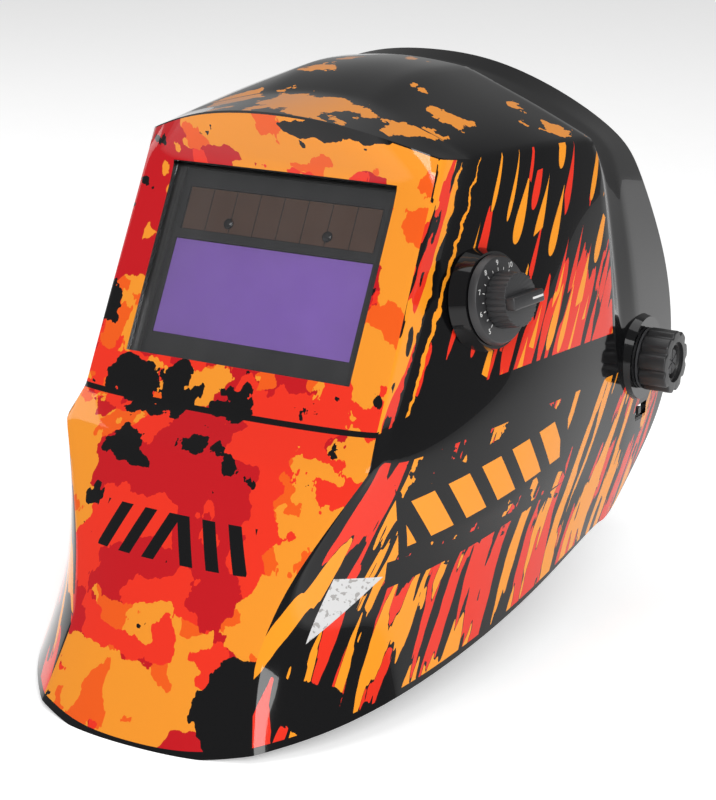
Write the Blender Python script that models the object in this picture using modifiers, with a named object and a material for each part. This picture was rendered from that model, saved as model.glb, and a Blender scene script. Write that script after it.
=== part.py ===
"""Auto-darkening welding helmet: a moulded shell with a lens cartridge and a ratchet headgear.

Metres, +Z up. The wearer looks along -Y and the wearer's left is +X. The helmet stands on the lip
of its chin and on the ratchet knob of its headgear, which is folded up under the shell.
"""

import math

import bmesh
import bpy
from mathutils import Matrix, Vector

MM = 0.001
GAP = 0.3 * MM  # between pieces that rest on each other

# Shell
SHELL_WIDTH = 224 * MM  # across the cheeks, without the knobs
SHELL_DEPTH = 295 * MM
SHELL_HEIGHT = 254 * MM
WALL = 2.6 * MM
WINDOW_WIDTH = 108 * MM
WINDOW_HEIGHT = 84 * MM
BOLT_HOLE_R = 4.4 * MM

# Lens cartridge and its holder
CARTRIDGE_WIDTH = 110 * MM
CARTRIDGE_HEIGHT = 90 * MM
CARTRIDGE_CASE = 4.4 * MM  # thickness of each half of the case
FILTER_WIDTH = 96 * MM
FILTER_HEIGHT = 42 * MM
FILTER_DROP = 10.5 * MM  # filter centre below the cartridge's centre
LENS_SHEET = 1.0 * MM
GASKET = 1.6 * MM
HOLDER_WALL = 2.0 * MM

# Shade dial on the left cheek
DIAL_R = 19 * MM
DIAL_THICK = 3.2 * MM
SHADE_KNOB_R = 11.8 * MM
SHADE_KNOB_LONG = 13.5 * MM
SPINDLE_R = 3 * MM
POT_R = 8.2 * MM  # the switch body behind the dial

# Pivots
BOSS_R = 19 * MM
BOSS_PROUD = 1.4 * MM
TENSION_KNOB_R = 14.3 * MM
TENSION_KNOB_LONG = 13 * MM
BOLT_R = 4 * MM

# Headgear
HEAD_HALF_WIDTH = 79 * MM
BROW_REACH = 88 * MM  # front of the headband ahead of the pivot
NAPE_REACH = 100 * MM  # back band behind the pivot
STRAP_HEIGHT = 94 * MM  # top of the crown strap above the pivot
BAND_THICK = 2.0 * MM
BAND_HIGH = 26 * MM
NAPE_DROP = 32 * MM  # ratchet below the pivot
NAPE_KNOB_R = 20 * MM
NAPE_KNOB_LONG = 12 * MM
NAPE_TRAVEL = 8 * MM  # the ratchet moves the back band this far either way
PINION_R = 5 * MM

# The cage below is drawn at these sizes and follows the shell's own.
CAGE_WIDTH, CAGE_DEPTH, CAGE_HEIGHT = 224, 295, 254
BASE_SHIFT = 0.11 * MM  # centres the whole helmet, ratchet knob and all, over the origin
BASE_DROP = 3 * MM  # sinks the rim to the floor, which cuts its underside flat

# Height of each row over the floor, from the chin's rim up to the brow. Every row runs from the
# middle of the face, round the front corner of the window frame, to the front of the rear groove.
FACE_ROWS = {
    "rim": [(0, -172.5, 1.5), (28, -170.5, 2), (51, -160, 6), (72, -138, 10.5), (90, -96, 17),
            (105, -26, 30.5), (106, 48, 43.5)],
    "lip": [(0, -154, 34), (25, -153, 34.5), (44, -146.5, 36.5), (57, -136, 38.5), (84, -98, 44),
            (102, -26, 54), (107.5, 51, 58)],
    "scoop_low": [(0, -146, 56), (28, -144, 57), (48, -136, 59), (62, -125, 59), (86, -82, 61),
                  (102, -20, 67), (108.5, 53, 73)],
    "scoop_high": [(0, -134, 77), (31, -132, 78), (57, -124, 80), (68, -114, 78), (90, -72, 77.5),
                   (105, -14, 78), (109.5, 53, 86)],
    "chin_top": [(0, -114, 107), (48, -112, 108), (73.5, -106, 109.5), (75.5, -97, 111),
                 (87, -68, 115), (105, -10, 119.5), (110.5, 53.5, 116)],
    "seam": [(0, -97.5, 120), (58, -97, 121), (70.5, -95, 121.7), (73, -84, 123),
             (84, -60, 129), (103, -10, 134), (109.5, 52.5, 130)],
    "window_low": [(0, -78.5, 154), (58, -78.5, 154), (70.3, -77.5, 154), (73.8, -64.5, 153),
                   (84, -42, 158), (102, 4, 158.5), (107.5, 54, 158)],
    "window_high": [(0, -47, 211), (58, -47, 211), (69.4, -46.5, 211), (74, -28.5, 208.5),
                    (84, -8, 208.5), (95, 24, 207.5), (100.5, 55.5, 205)],
    "brow": [(0, -61, 240), (38, -55.5, 235.5), (69.2, -40.5, 223), (74.3, -20.5, 219.6),
             (82, 4, 220), (91, 28, 219.5), (95.5, 54.5, 217.5)],
}
# Crown rows, each from the middle out to the crease above the side panel.
CROWN_ROWS = {
    "panel": [(0, -16.5, 240.5), (26, -19.5, 238.5), (60, -29.5, 230.5)],
    "dome_front": [(0, 6.5, 247), (26, 4.5, 244.5), (59, -5.5, 232)],
    "dome_back": [(0, 32.5, 249.5), (28, 30.5, 246.5), (62, 24.5, 232.5)],
    "groove": [(0, 59.5, 247.5), (32, 58.5, 243.8), (66, 55.5, 231)],
}
# Outside the groove's front edge, from the crown down to the jaw: its floor, its rear edge and
# the shell's own rear edge.
REAR_ROWS = [
    [(0, 65.5, 242), (0, 76.5, 243), (0, 86.5, 246)],
    [(32, 65, 238.2), (33, 76.5, 240), (33, 87.5, 243.5)],
    [(65, 62.5, 226), (66, 77.5, 227.5), (67, 92.5, 229)],
    [(93, 62.5, 212.5), (92.5, 78.5, 213), (92, 98.5, 211)],
    [(98, 62.5, 202), (98.5, 77.5, 200), (97, 106.5, 196)],
    [(104.5, 62.5, 158), (107, 77, 158), (106.5, 120.5, 154)],
    [(108.5, 63.5, 129), (110.5, 78, 128), (110.5, 121.5, 124)],
    [(111, 64.5, 114), (112, 79, 112), (112, 118.5, 104)],
    [(110.5, 64.5, 86), (111.5, 78.5, 86), (112, 109.5, 86)],
    [(109.5, 62, 73), (110.5, 74.5, 73.5), (111, 98.5, 73)],
    [(108.5, 58.5, 58.5), (109, 67, 59), (109, 82.5, 59)],
    [(106.5, 53.5, 42), (107, 59.5, 43.5), (107.5, 66.5, 47)],
]
PIVOT_AT = (112, 82.5, 113.5)
DIAL_AT = (88.5, -31, 164.5)
DIAL_FACING = Vector((0.965, -0.17, 0.18)).normalized()
TILT_SLOT_AT = (112, 84, 88)

parts = bpy.data.collections.new("welding_helmet")
cutters = bpy.data.collections.new("cutters")


def clear_scene():
    for old in list(bpy.data.objects):
        bpy.data.objects.remove(old, do_unlink=True)
    for group in (parts, cutters):
        bpy.context.scene.collection.children.link(group)


def material(name, colour, roughness, metallic=0.0):
    made = bpy.data.materials.new(name)
    made.use_nodes = True
    shader = made.node_tree.nodes["Principled BSDF"]
    shader.inputs["Base Color"].default_value = (*colour, 1.0)
    shader.inputs["Roughness"].default_value = roughness
    shader.inputs["Metallic"].default_value = metallic
    return made


def add(name, mesh, finish=None, group=None):
    """A new object in the helmet's collection, smooth where its faces meet gently."""
    made = bpy.data.objects.new(name, mesh)
    (group or parts).objects.link(made)
    if finish:
        mesh.materials.append(finish)
    if group is cutters:
        made.hide_render = True
        made.display_type = "WIRE"
    mesh.shade_smooth()
    mesh.set_sharp_from_angle(angle=math.radians(35))
    return made


def mesh_from(bm, name, place=None):
    if place:
        bm.transform(place)
    mesh = bpy.data.meshes.new(name)
    bm.to_mesh(mesh)
    bm.free()
    return mesh


def box_mesh(name, low, high, place=None, bevel=0.0):
    bm = bmesh.new()
    bmesh.ops.create_cube(bm, size=1.0)
    size = Vector(high) - Vector(low)
    middle = (Vector(high) + Vector(low)) / 2
    bm.transform(Matrix.Translation(middle) @ Matrix.Diagonal((*size, 1.0)))
    if bevel:
        bmesh.ops.bevel(bm, geom=bm.edges[:], offset=bevel, segments=1, affect="EDGES")
    return mesh_from(bm, name, place)


def cylinder_mesh(name, radius, low, high, place=None, top_radius=None, sides=32):
    """A cylinder or cone along the local +Z, from low to high."""
    bm = bmesh.new()
    bmesh.ops.create_cone(
        bm, cap_ends=True, segments=sides, radius1=radius, radius2=top_radius or radius,
        depth=high - low, matrix=Matrix.Translation((0, 0, (low + high) / 2)),
    )
    return mesh_from(bm, name, place)


def modify(owner, kind, **settings):
    modifier = owner.modifiers.new(kind.title(), kind)
    for key, value in settings.items():
        setattr(modifier, key, value)
    return modifier


def cut(owner, *tools):
    for tool in tools:
        modify(owner, "BOOLEAN", operation="DIFFERENCE", object=tool)


def join(owner, *tools):
    for tool in tools:
        modify(owner, "BOOLEAN", operation="UNION", object=tool)


def tool_box(name, low, high, place=None):
    return add(name, box_mesh(name, low, high, place), group=cutters)


def tool_cylinder(name, radius, low, high, place=None, **more):
    return add(name, cylinder_mesh(name, radius, low, high, place, **more), group=cutters)


def turned(name, profile, place, finish, steps=32):
    """A body of revolution about its local +Z. Its profile runs down the outer side."""
    mesh = bpy.data.meshes.new(name)
    points = [(r, 0, z) for r, z in profile]
    mesh.from_pydata(points, [(i, i + 1) for i in range(len(points) - 1)], [])
    made = add(name, mesh, finish)
    made.matrix_world = place
    modify(made, "SCREW", steps=steps, render_steps=steps, use_merge_vertices=True,
           merge_threshold=0.0001)
    return made


def tube(name, route, radius, finish, sides=2, closed=False):
    """A round wire along a poly line of world points."""
    curve = bpy.data.curves.new(name, "CURVE")
    curve.dimensions = "3D"
    curve.bevel_depth = radius
    curve.bevel_resolution = sides
    curve.use_fill_caps = True
    spline = curve.splines.new("POLY")
    spline.points.add(len(route) - 1)
    for point, place in zip(spline.points, route):
        point.co = (*place, 1.0)
    spline.use_cyclic_u = closed
    made = bpy.data.objects.new(name, curve)
    parts.objects.link(made)
    curve.materials.append(finish)
    return made


def facing(point, normal, up=Vector((0, 0, 1))):
    """A frame at point whose +Z is normal and whose +Y leans as near up as it can."""
    z = normal.normalized()
    x = up.cross(z).normalized()
    y = z.cross(x)
    return Matrix.Translation(point) @ Matrix((x, y, z)).transposed().to_4x4()


def on_shell(x, y, z):
    """A cage point, in millimetres, at the shell's real size."""
    return Vector((
        x / CAGE_WIDTH * SHELL_WIDTH, y / CAGE_DEPTH * SHELL_DEPTH + BASE_SHIFT,
        z / CAGE_HEIGHT * SHELL_HEIGHT - BASE_DROP,
    ))


black_gloss = material("black_gloss", (0.02, 0.02, 0.022), 0.12)
red_gloss = material("red_gloss", (0.62, 0.07, 0.03), 0.12)
black_satin = material("black_satin", (0.03, 0.03, 0.033), 0.45)
grey_satin = material("grey_satin", (0.08, 0.08, 0.085), 0.4)
lens_clear = material("lens_clear", (0.8, 0.85, 0.85), 0.03)
filter_violet = material("filter_violet", (0.16, 0.06, 0.3), 0.05)
solar_brown = material("solar_brown", (0.06, 0.035, 0.03), 0.15)
rubber = material("rubber", (0.02, 0.02, 0.02), 0.8)
board_green = material("board_green", (0.03, 0.16, 0.07), 0.5)
steel = material("steel", (0.6, 0.6, 0.62), 0.3, 1.0)
towelling = material("towelling", (0.05, 0.05, 0.055), 0.95)

# ---------------------------------------------------------------- shell


def shell_cage():
    """Half of the outer surface as a coarse cage, with its sharp lines creased."""
    bm = bmesh.new()
    face = {name: [bm.verts.new(on_shell(*p)) for p in row] for name, row in FACE_ROWS.items()}
    crown = {name: [bm.verts.new(on_shell(*p)) for p in row] for name, row in CROWN_ROWS.items()}
    for name, side in zip(CROWN_ROWS, face["brow"][3:]):
        crown[name].append(side)
    rows = list(face.values())
    crown_rows = list(crown.values())

    def quads(lower, upper):
        for i in range(len(lower) - 1):
            bm.faces.new((lower[i], lower[i + 1], upper[i + 1], upper[i]))

    for lower, upper in zip(rows, rows[1:]):
        quads(lower, upper)
    for lower, upper in zip(crown_rows, crown_rows[1:]):
        quads(lower, upper)
    ledge = face["brow"][:3]
    quads(ledge, crown["panel"][:3])
    bm.faces.new((ledge[2], face["brow"][3], crown["panel"][2]))

    groove = crown["groove"] + [row[-1] for row in reversed(rows[:-1])]
    rear = [[bm.verts.new(on_shell(*p)) for p in row] for row in REAR_ROWS]
    rings = [groove] + [[row[k] for row in rear] for k in range(3)]
    for inner, outer in zip(rings, rings[1:]):
        quads(inner, outer)

    crease = bm.edges.layers.float.new("crease_edge")

    def sharpen(line, amount):
        for a, b in zip(line, line[1:]):
            bm.edges.get((a, b))[crease] = amount

    for name, amount in (("chin_top", 0.75), ("seam", 0.9)):
        sharpen(face[name][:4], amount)
    sharpen(face["lip"][:3], 0.6)
    sharpen(face["window_high"][:3], 0.5)
    sharpen(face["brow"][:4], 1.0)
    sharpen(face["brow"][3:], 0.9)
    sharpen(crown["panel"], 0.7)
    sharpen([row[1] for row in crown_rows], 0.6)
    sharpen([row[2] for row in rows], 0.9)
    sharpen([row[3] for row in rows[4:]], 0.9)
    sharpen(face["scoop_high"][3:6], 0.8)
    sharpen(groove[:8], 0.9)
    sharpen(rings[1][:8], 0.6)
    sharpen(rings[2][:8], 0.9)
    bmesh.ops.recalc_face_normals(bm, faces=bm.faces)
    return mesh_from(bm, "shell")


def window_frame():
    """The window's plane, measured on the flat front of the cage: +Z out, +Y up the window."""
    low = on_shell(*FACE_ROWS["window_low"][0])
    high = on_shell(*FACE_ROWS["window_high"][0])
    up = (high - low).normalized()
    out = Vector((1, 0, 0)).cross(up)
    middle = (low + high) / 2 - up * 9.3 * MM
    return Matrix.Translation(middle) @ Matrix(
        (Vector((1, 0, 0)), up, out)).transposed().to_4x4()


WINDOW = window_frame()
PIVOT = on_shell(*PIVOT_AT)
DIAL = facing(on_shell(*DIAL_AT), DIAL_FACING)
BOSS_FACE = PIVOT.x + BOSS_PROUD  # the outer face of the pivot boss
BOSS_BACK = BOSS_FACE - 7 * MM
DIAL_SEAT = 2.4 * MM  # the dial's flat seat stands this far out of DIAL_AT
DIAL_BACK = DIAL_SEAT - 7.2 * MM


def side_axis(sign):
    """A frame on the pivot axis whose +Z points out of that side of the shell."""
    return Matrix.Translation((0, PIVOT.y, PIVOT.z)) @ Matrix.Rotation(sign * math.pi / 2, 4, "Y")


HOLDER_SCREWS = [
    (sx * (CARTRIDGE_WIDTH / 2 + 5.5 * MM), sy * (CARTRIDGE_HEIGHT / 2 - 12 * MM))
    for sx in (-1, 1) for sy in (-1, 1)
]
# Depths behind the window's outer face, front to back.
COVER_AT = -(WALL + GAP)
GASKET_AT = COVER_AT - LENS_SHEET - GAP
CASE_AT = GASKET_AT - GASKET - GAP
CASE_BACK_AT = CASE_AT - CARTRIDGE_CASE - GAP
INNER_AT = CASE_BACK_AT - CARTRIDGE_CASE - GAP


def make_shell():
    shell = add("shell", shell_cage(), red_gloss)
    modify(shell, "MIRROR", merge_threshold=0.0001)
    modify(shell, "SUBSURF", levels=1, render_levels=1)
    modify(shell, "SOLIDIFY", thickness=WALL, offset=-1, use_even_offset=True)
    for sign, side in ((1, "left"), (-1, "right")):
        join(shell, tool_cylinder(f"boss_{side}_tool", BOSS_R + 2 * MM, BOSS_BACK, BOSS_FACE,
                                  side_axis(sign), top_radius=BOSS_R))
        cut(shell, tool_cylinder(f"bolt_hole_{side}_tool", BOLT_HOLE_R, BOSS_BACK - 3 * MM,
                                 BOSS_FACE + 5 * MM, side_axis(sign), sides=24))
    join(shell, tool_cylinder("dial_seat_tool", DIAL_R + 3 * MM, DIAL_BACK, DIAL_SEAT, DIAL,
                              top_radius=DIAL_R + 1 * MM))
    cut(shell, tool_cylinder("dial_pocket_tool", POT_R + 2.8 * MM, DIAL_BACK - 12 * MM,
                             DIAL_BACK + 0.15 * MM, DIAL, sides=28))
    cut(shell, tool_cylinder("dial_hole_tool", SPINDLE_R + 2 * MM, DIAL_BACK - 9 * MM,
                             DIAL_SEAT + 5 * MM, DIAL, sides=24))
    half = (WINDOW_WIDTH / 2, WINDOW_HEIGHT / 2)
    cut(shell, tool_box("window_tool", (-half[0], -half[1], -9 * MM), (*half, 9 * MM), WINDOW))
    seat = HOLDER_HALF + Vector((1 * MM, 1 * MM))
    cut(shell, tool_box("lens_seat_tool", (-seat.x, -seat.y, HOLDER_BACK - 1 * MM),
                        (seat.x, seat.y, COVER_AT + GAP / 2), WINDOW))
    for number, (x, y) in enumerate(HOLDER_SCREWS):
        place = WINDOW @ Matrix.Translation((x, y, 0))
        join(shell, tool_cylinder(f"screw_post_{number}_tool", 3.6 * MM, COVER_AT - 5 * MM,
                                  -1.2 * MM, place, sides=16))
        cut(shell, tool_cylinder(f"screw_bore_{number}_tool", 1.5 * MM, COVER_AT - 9 * MM,
                                 COVER_AT - 0.2 * MM, place, sides=16))
    slot = on_shell(*TILT_SLOT_AT)
    cut(shell, tool_box("tilt_slot_tool", (slot.x - 9 * MM, slot.y - 6 * MM, slot.z - 3 * MM),
                        (slot.x + 9 * MM, slot.y + 6 * MM, slot.z + 3 * MM)))
    cut(shell, tool_box("floor_tool", (-0.2, -0.4, -0.05), (0.2, 0.2, 0)))
    return shell


# ---------------------------------------------------------------- lens cartridge


def ring_box(name, outer, inner, low, high, finish, bevel=0.0):
    """A rectangular ring in the window's frame."""
    ring = add(name, box_mesh(name, (-outer[0], -outer[1], low), (*outer, high), WINDOW, bevel),
               finish)
    cut(ring, tool_box(f"{name}_opening_tool", (-inner[0], -inner[1], low - 9 * MM),
                       (*inner, high + 9 * MM), WINDOW))
    return ring


FILTER_MIDDLE = -FILTER_DROP
SOLAR_MIDDLE = 24 * MM
SOLAR_HALF = (47 * MM, 9.5 * MM)
SENSOR_X = 24 * MM
SENSOR_Y = 19 * MM
SENSOR_R = 2.4 * MM


def make_lenses():
    half = Vector((CARTRIDGE_WIDTH / 2, CARTRIDGE_HEIGHT / 2))
    add("outer_cover_lens",
        box_mesh("outer_cover_lens", (-half.x, -half.y, COVER_AT - LENS_SHEET),
                 (half.x, half.y, COVER_AT), WINDOW), lens_clear)
    ring_box("lens_gasket", half, half - Vector((5 * MM, 4 * MM)), GASKET_AT - GASKET,
             GASKET_AT, rubber)

    case = add("cartridge_front", box_mesh("cartridge_front", (-half.x, -half.y, CASE_AT
               - CARTRIDGE_CASE), (half.x, half.y, CASE_AT), WINDOW, 0.8 * MM), black_satin)
    filter_half = Vector((FILTER_WIDTH / 2, FILTER_HEIGHT / 2))
    glass_low = (-filter_half.x, FILTER_MIDDLE - filter_half.y)
    glass_high = (filter_half.x, FILTER_MIDDLE + filter_half.y)
    cut(case, tool_box("case_filter_tool", (glass_low[0], glass_low[1], CASE_AT - 9 * MM),
                       (glass_high[0], glass_high[1], CASE_AT + 9 * MM), WINDOW))
    cut(case, tool_box("case_solar_tool", (-SOLAR_HALF[0], SOLAR_MIDDLE - SOLAR_HALF[1],
                                           CASE_AT - 1.6 * MM),
                       (SOLAR_HALF[0], SOLAR_MIDDLE + SOLAR_HALF[1], CASE_AT + 9 * MM), WINDOW))
    add("solar_panel", box_mesh("solar_panel", (GAP - SOLAR_HALF[0], SOLAR_MIDDLE
                                                - SOLAR_HALF[1] + GAP, CASE_AT - 1.3 * MM),
                                (SOLAR_HALF[0] - GAP, SOLAR_MIDDLE + SOLAR_HALF[1] - GAP,
                                 CASE_AT - 0.4 * MM), WINDOW), solar_brown)
    add("filter_glass", box_mesh("filter_glass", (glass_low[0] + GAP, glass_low[1] + GAP,
                                                  CASE_AT - 3.6 * MM),
                                 (glass_high[0] - GAP, glass_high[1] - GAP, CASE_AT - 0.6 * MM),
                                 WINDOW), filter_violet)
    for sign, side in ((1, "left"), (-1, "right")):
        place = WINDOW @ Matrix.Translation((sign * SENSOR_X, SENSOR_Y, CASE_AT - 0.4 * MM + GAP))
        turned(f"arc_sensor_{side}",
               [(0, 1.3 * MM), (1.3 * MM, 1.1 * MM), (2.1 * MM, 0.5 * MM), (SENSOR_R, 0), (0, 0)],
               place, black_gloss, steps=16)

    back = add("cartridge_back", box_mesh("cartridge_back", (-half.x, -half.y, CASE_BACK_AT
               - CARTRIDGE_CASE), (half.x, half.y, CASE_BACK_AT), WINDOW, 0.8 * MM), black_satin)
    cut(back, tool_box("back_filter_tool", (glass_low[0] + 1 * MM, glass_low[1] + 1 * MM,
                                            CASE_BACK_AT - 9 * MM),
                       (glass_high[0] - 1 * MM, glass_high[1] - 1 * MM, CASE_BACK_AT + 9 * MM),
                       WINDOW))
    board_low, board_high = (-50 * MM, 14 * MM), (50 * MM, 42 * MM)
    cut(back, tool_box("board_pocket_tool", (*board_low, CASE_BACK_AT - 3 * MM),
                       (*board_high, CASE_BACK_AT + 9 * MM), WINDOW))
    add("circuit_board", box_mesh("circuit_board", (board_low[0] + GAP, board_low[1] + GAP,
                                                    CASE_BACK_AT - 1.6 * MM),
                                  (board_high[0] - GAP, board_high[1] - GAP, CASE_BACK_AT
                                   - GAP), WINDOW), board_green)
    # The coin cell's tray fills a pocket in the lower left corner of the case.
    tray_low, tray_high = Vector((24 * MM, -43 * MM)), Vector((52 * MM, -35.5 * MM))
    inset = Vector((GAP, GAP))
    cut(back, tool_box("tray_pocket_tool", (*tray_low, CASE_BACK_AT - 3.4 * MM),
                       (*tray_high, CASE_BACK_AT + 9 * MM), WINDOW))
    tray = add("battery_tray", box_mesh("battery_tray", (*(tray_low + inset),
               CASE_BACK_AT - 3.1 * MM), (*(tray_high - inset), CASE_BACK_AT - GAP), WINDOW),
               black_satin)
    cell_at = (tray_low + tray_high) / 2
    place = WINDOW @ Matrix.Translation((*cell_at, CASE_BACK_AT - 2.6 * MM))
    cut(tray, tool_cylinder("cell_pocket_tool", 3.2 * MM, 0, 5 * MM, place, sides=24))
    add("battery_cell", cylinder_mesh("battery_cell", 2.9 * MM, GAP, 1.9 * MM, place, sides=24),
        steel)

    inner_low = (-54 * MM, FILTER_MIDDLE - 26 * MM)
    inner_high = (54 * MM, FILTER_MIDDLE + 26 * MM)
    add("inner_cover_lens", box_mesh("inner_cover_lens", (*inner_low, INNER_AT - LENS_SHEET),
                                     (*inner_high, INNER_AT), WINDOW), lens_clear)


CONTROL_Y = 28 * MM  # the row of controls on the back of the cartridge
CONTROL_BACK = CASE_BACK_AT - CARTRIDGE_CASE


def make_controls():
    back_facing = Matrix.Rotation(math.pi, 4, "Y")
    for name, x in (("sensitivity_knob", -30 * MM), ("delay_knob", 30 * MM)):
        place = WINDOW @ Matrix.Translation((x, CONTROL_Y, CONTROL_BACK - GAP)) @ back_facing
        knob = add(name, cylinder_mesh(name, 7 * MM, 0, 5 * MM, place, top_radius=6.2 * MM,
                                       sides=20), black_satin)
        cut(knob, tool_box(f"{name}_slot_tool", (-0.8 * MM, -7.5 * MM, 4 * MM),
                           (0.8 * MM, 7.5 * MM, 9 * MM), place))
    place = WINDOW @ Matrix.Translation((-2 * MM, CONTROL_Y, CONTROL_BACK - GAP)) @ back_facing
    add("mode_switch", box_mesh("mode_switch", (-4 * MM, -2.5 * MM, 0), (4 * MM, 2.5 * MM,
                                2.6 * MM), place, 0.5 * MM), grey_satin)


HOLDER_HALF = Vector((CARTRIDGE_WIDTH / 2 + GAP + HOLDER_WALL,
                      CARTRIDGE_HEIGHT / 2 + GAP + HOLDER_WALL))
HOLDER_FRONT = COVER_AT - 0.4 * MM
HOLDER_BACK = INNER_AT - LENS_SHEET - 1.2 * MM


def make_holder():
    """The tray that holds the lens stack against the shell, on four screw posts."""
    holder = add("lens_holder", box_mesh("lens_holder", (-HOLDER_HALF.x, -HOLDER_HALF.y,
                 HOLDER_BACK), (HOLDER_HALF.x, HOLDER_HALF.y, HOLDER_FRONT), WINDOW), black_satin)
    inner = HOLDER_HALF - Vector((HOLDER_WALL, HOLDER_WALL))
    for number, (x, y) in enumerate(HOLDER_SCREWS):
        ear = WINDOW @ Matrix.Translation((x, y, 0))
        join(holder, tool_cylinder(f"holder_ear_{number}_tool", 5.5 * MM,
                                   COVER_AT - 7.5 * MM, COVER_AT - 5.3 * MM, ear, sides=20))
        cut(holder, tool_cylinder(f"holder_post_{number}_tool", 3.9 * MM, COVER_AT - 5.3 * MM,
                                  5 * MM, ear, sides=20))
        cut(holder, tool_cylinder(f"holder_ear_bore_{number}_tool", 1.9 * MM, -25 * MM, 5 * MM,
                                  ear, sides=16))
    cut(holder, tool_box("holder_cavity_tool", (-inner.x, -inner.y, INNER_AT - LENS_SHEET - GAP),
                         (inner.x, inner.y, 9 * MM), WINDOW))
    cut(holder, tool_box("holder_view_tool", (-50 * MM, -40 * MM, -40 * MM),
                         (50 * MM, 41 * MM, 9 * MM), WINDOW))
    for number, (x, y) in enumerate(HOLDER_SCREWS):
        place = WINDOW @ Matrix.Translation((x, y, COVER_AT - 7.5 * MM - GAP)) @ Matrix.Rotation(
            math.pi, 4, "Y")
        turned(f"holder_screw_{number + 1}",
               [(0, 2 * MM), (1.9 * MM, 1.8 * MM), (2.9 * MM, 0.8 * MM), (2.9 * MM, 0),
                (1.2 * MM, 0), (1.2 * MM, -5.6 * MM), (0, -5.6 * MM)], place, steel, steps=16)


BAIL_R = 1.2 * MM
BAIL_Y = -HOLDER_HALF.y + 3.5 * MM  # the bail hinges along the lower edge of the holder
BAIL_Z = HOLDER_BACK - 2.4 * MM


def make_bail():
    """The wire that locks the cartridge in: it swings down and back on two lugs."""
    lug_x = 40 * MM
    for sign, side in ((1, "left"), (-1, "right")):
        name = f"bail_lug_{side}"
        lug = add(name, box_mesh(name, (sign * lug_x - 3 * MM, BAIL_Y - 3 * MM,
                                 BAIL_Z - 2.4 * MM),
                                 (sign * lug_x + 3 * MM, BAIL_Y + 2.6 * MM, HOLDER_BACK
                                  - GAP), WINDOW), black_satin)
        place = WINDOW @ Matrix.Translation((0, BAIL_Y, BAIL_Z)) @ Matrix.Rotation(
            math.pi / 2, 4, "Y")
        cut(lug, tool_cylinder(f"{name}_bore_tool", BAIL_R + 0.15 * MM, -0.1, 0.1, place,
                               sides=16))
    reach, foot = 46 * MM, lug_x - 7 * MM
    outline = [(-foot, 0), (-lug_x - 6 * MM, 0), (-lug_x - 6 * MM, 6 * MM), (-reach, 8 * MM),
               (-reach, 80 * MM), (-reach + 5 * MM, 85 * MM), (reach - 5 * MM, 85 * MM),
               (reach, 80 * MM), (reach, 8 * MM), (lug_x + 6 * MM, 6 * MM), (lug_x + 6 * MM, 0),
               (foot, 0)]
    route = [WINDOW @ Vector((x, BAIL_Y + y, BAIL_Z)) for x, y in outline]
    tube("retaining_bail", route, BAIL_R, steel)


# ---------------------------------------------------------------- shade dial


def make_shade_dial():
    seat = DIAL_SEAT + GAP
    turned("shade_dial_plate",
                   [(SPINDLE_R + 1 * MM, DIAL_THICK), (SHADE_KNOB_R + 1.5 * MM, DIAL_THICK),
                    (DIAL_R - 0.6 * MM, 1.2 * MM), (DIAL_R, 0.8 * MM), (DIAL_R, 0),
                    (SPINDLE_R + 1 * MM, 0), (SPINDLE_R + 1 * MM, DIAL_THICK)],
                   DIAL @ Matrix.Translation((0, 0, seat)), grey_satin, steps=40)
    base = seat + DIAL_THICK + GAP
    place = DIAL @ Matrix.Translation((0, 0, base))
    knob = add("shade_knob", cylinder_mesh("shade_knob", SHADE_KNOB_R, 0, SHADE_KNOB_LONG, place,
                                           top_radius=SHADE_KNOB_R - 1.4 * MM, sides=32),
               black_satin)
    join(knob, tool_box("shade_pointer_tool", (-2 * MM, -SHADE_KNOB_R - 3 * MM,
                        SHADE_KNOB_LONG - 7 * MM), (2 * MM, SHADE_KNOB_R - 2 * MM,
                        SHADE_KNOB_LONG + 1.2 * MM), place @ Matrix.Rotation(
                            math.radians(100), 4, "Z")))
    cut(knob, tool_cylinder("shade_knob_bore_tool", SPINDLE_R + 0.2 * MM, -1 * MM, 8 * MM, place,
                            sides=20))
    add("shade_pot_body", cylinder_mesh("shade_pot_body", POT_R, DIAL_BACK - 9 * MM,
                                        DIAL_BACK - GAP, DIAL, sides=22), steel)
    add("shade_pot_spindle", cylinder_mesh("shade_pot_spindle", SPINDLE_R, DIAL_BACK - 0.05 * MM,
                                           base + 7 * MM, DIAL, sides=20), steel)
    pot = DIAL @ Vector((0, 0, DIAL_BACK - 9 * MM - GAP))
    inward = -DIAL_FACING
    gland = WINDOW @ Vector((HOLDER_HALF.x + 1.9 * MM, 22 * MM, CASE_BACK_AT))
    start = pot + inward * 1.2 * MM
    middle = (start + gland) / 2 + Vector((0.5, 2.5, -1)) * 4 * MM
    tube("shade_cable", cubic(start, start + inward * 7 * MM, middle, gland, 10), 1.2 * MM, rubber)


def cubic(a, b, c, d, count):
    """Points of a Bezier curve."""
    points = []
    for i in range(count + 1):
        t = i / count
        s = 1 - t
        points.append(a * s**3 + b * 3 * s * s * t + c * 3 * s * t * t + d * t**3)
    return points


# ---------------------------------------------------------------- pivots

WASHER = 1.0 * MM
SIDE_PLATE = 2.4 * MM
WASHER_OUT = BOSS_FACE + GAP
KNOB_FROM = WASHER_OUT + WASHER + GAP
WASHER_IN = BOSS_BACK - GAP
LEVER_OUT = WASHER_IN - WASHER - GAP
LEVER_THICK = 1.8 * MM
PLATE_OUT = LEVER_OUT - LEVER_THICK - GAP  # outer face of the headgear's side plate


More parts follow.
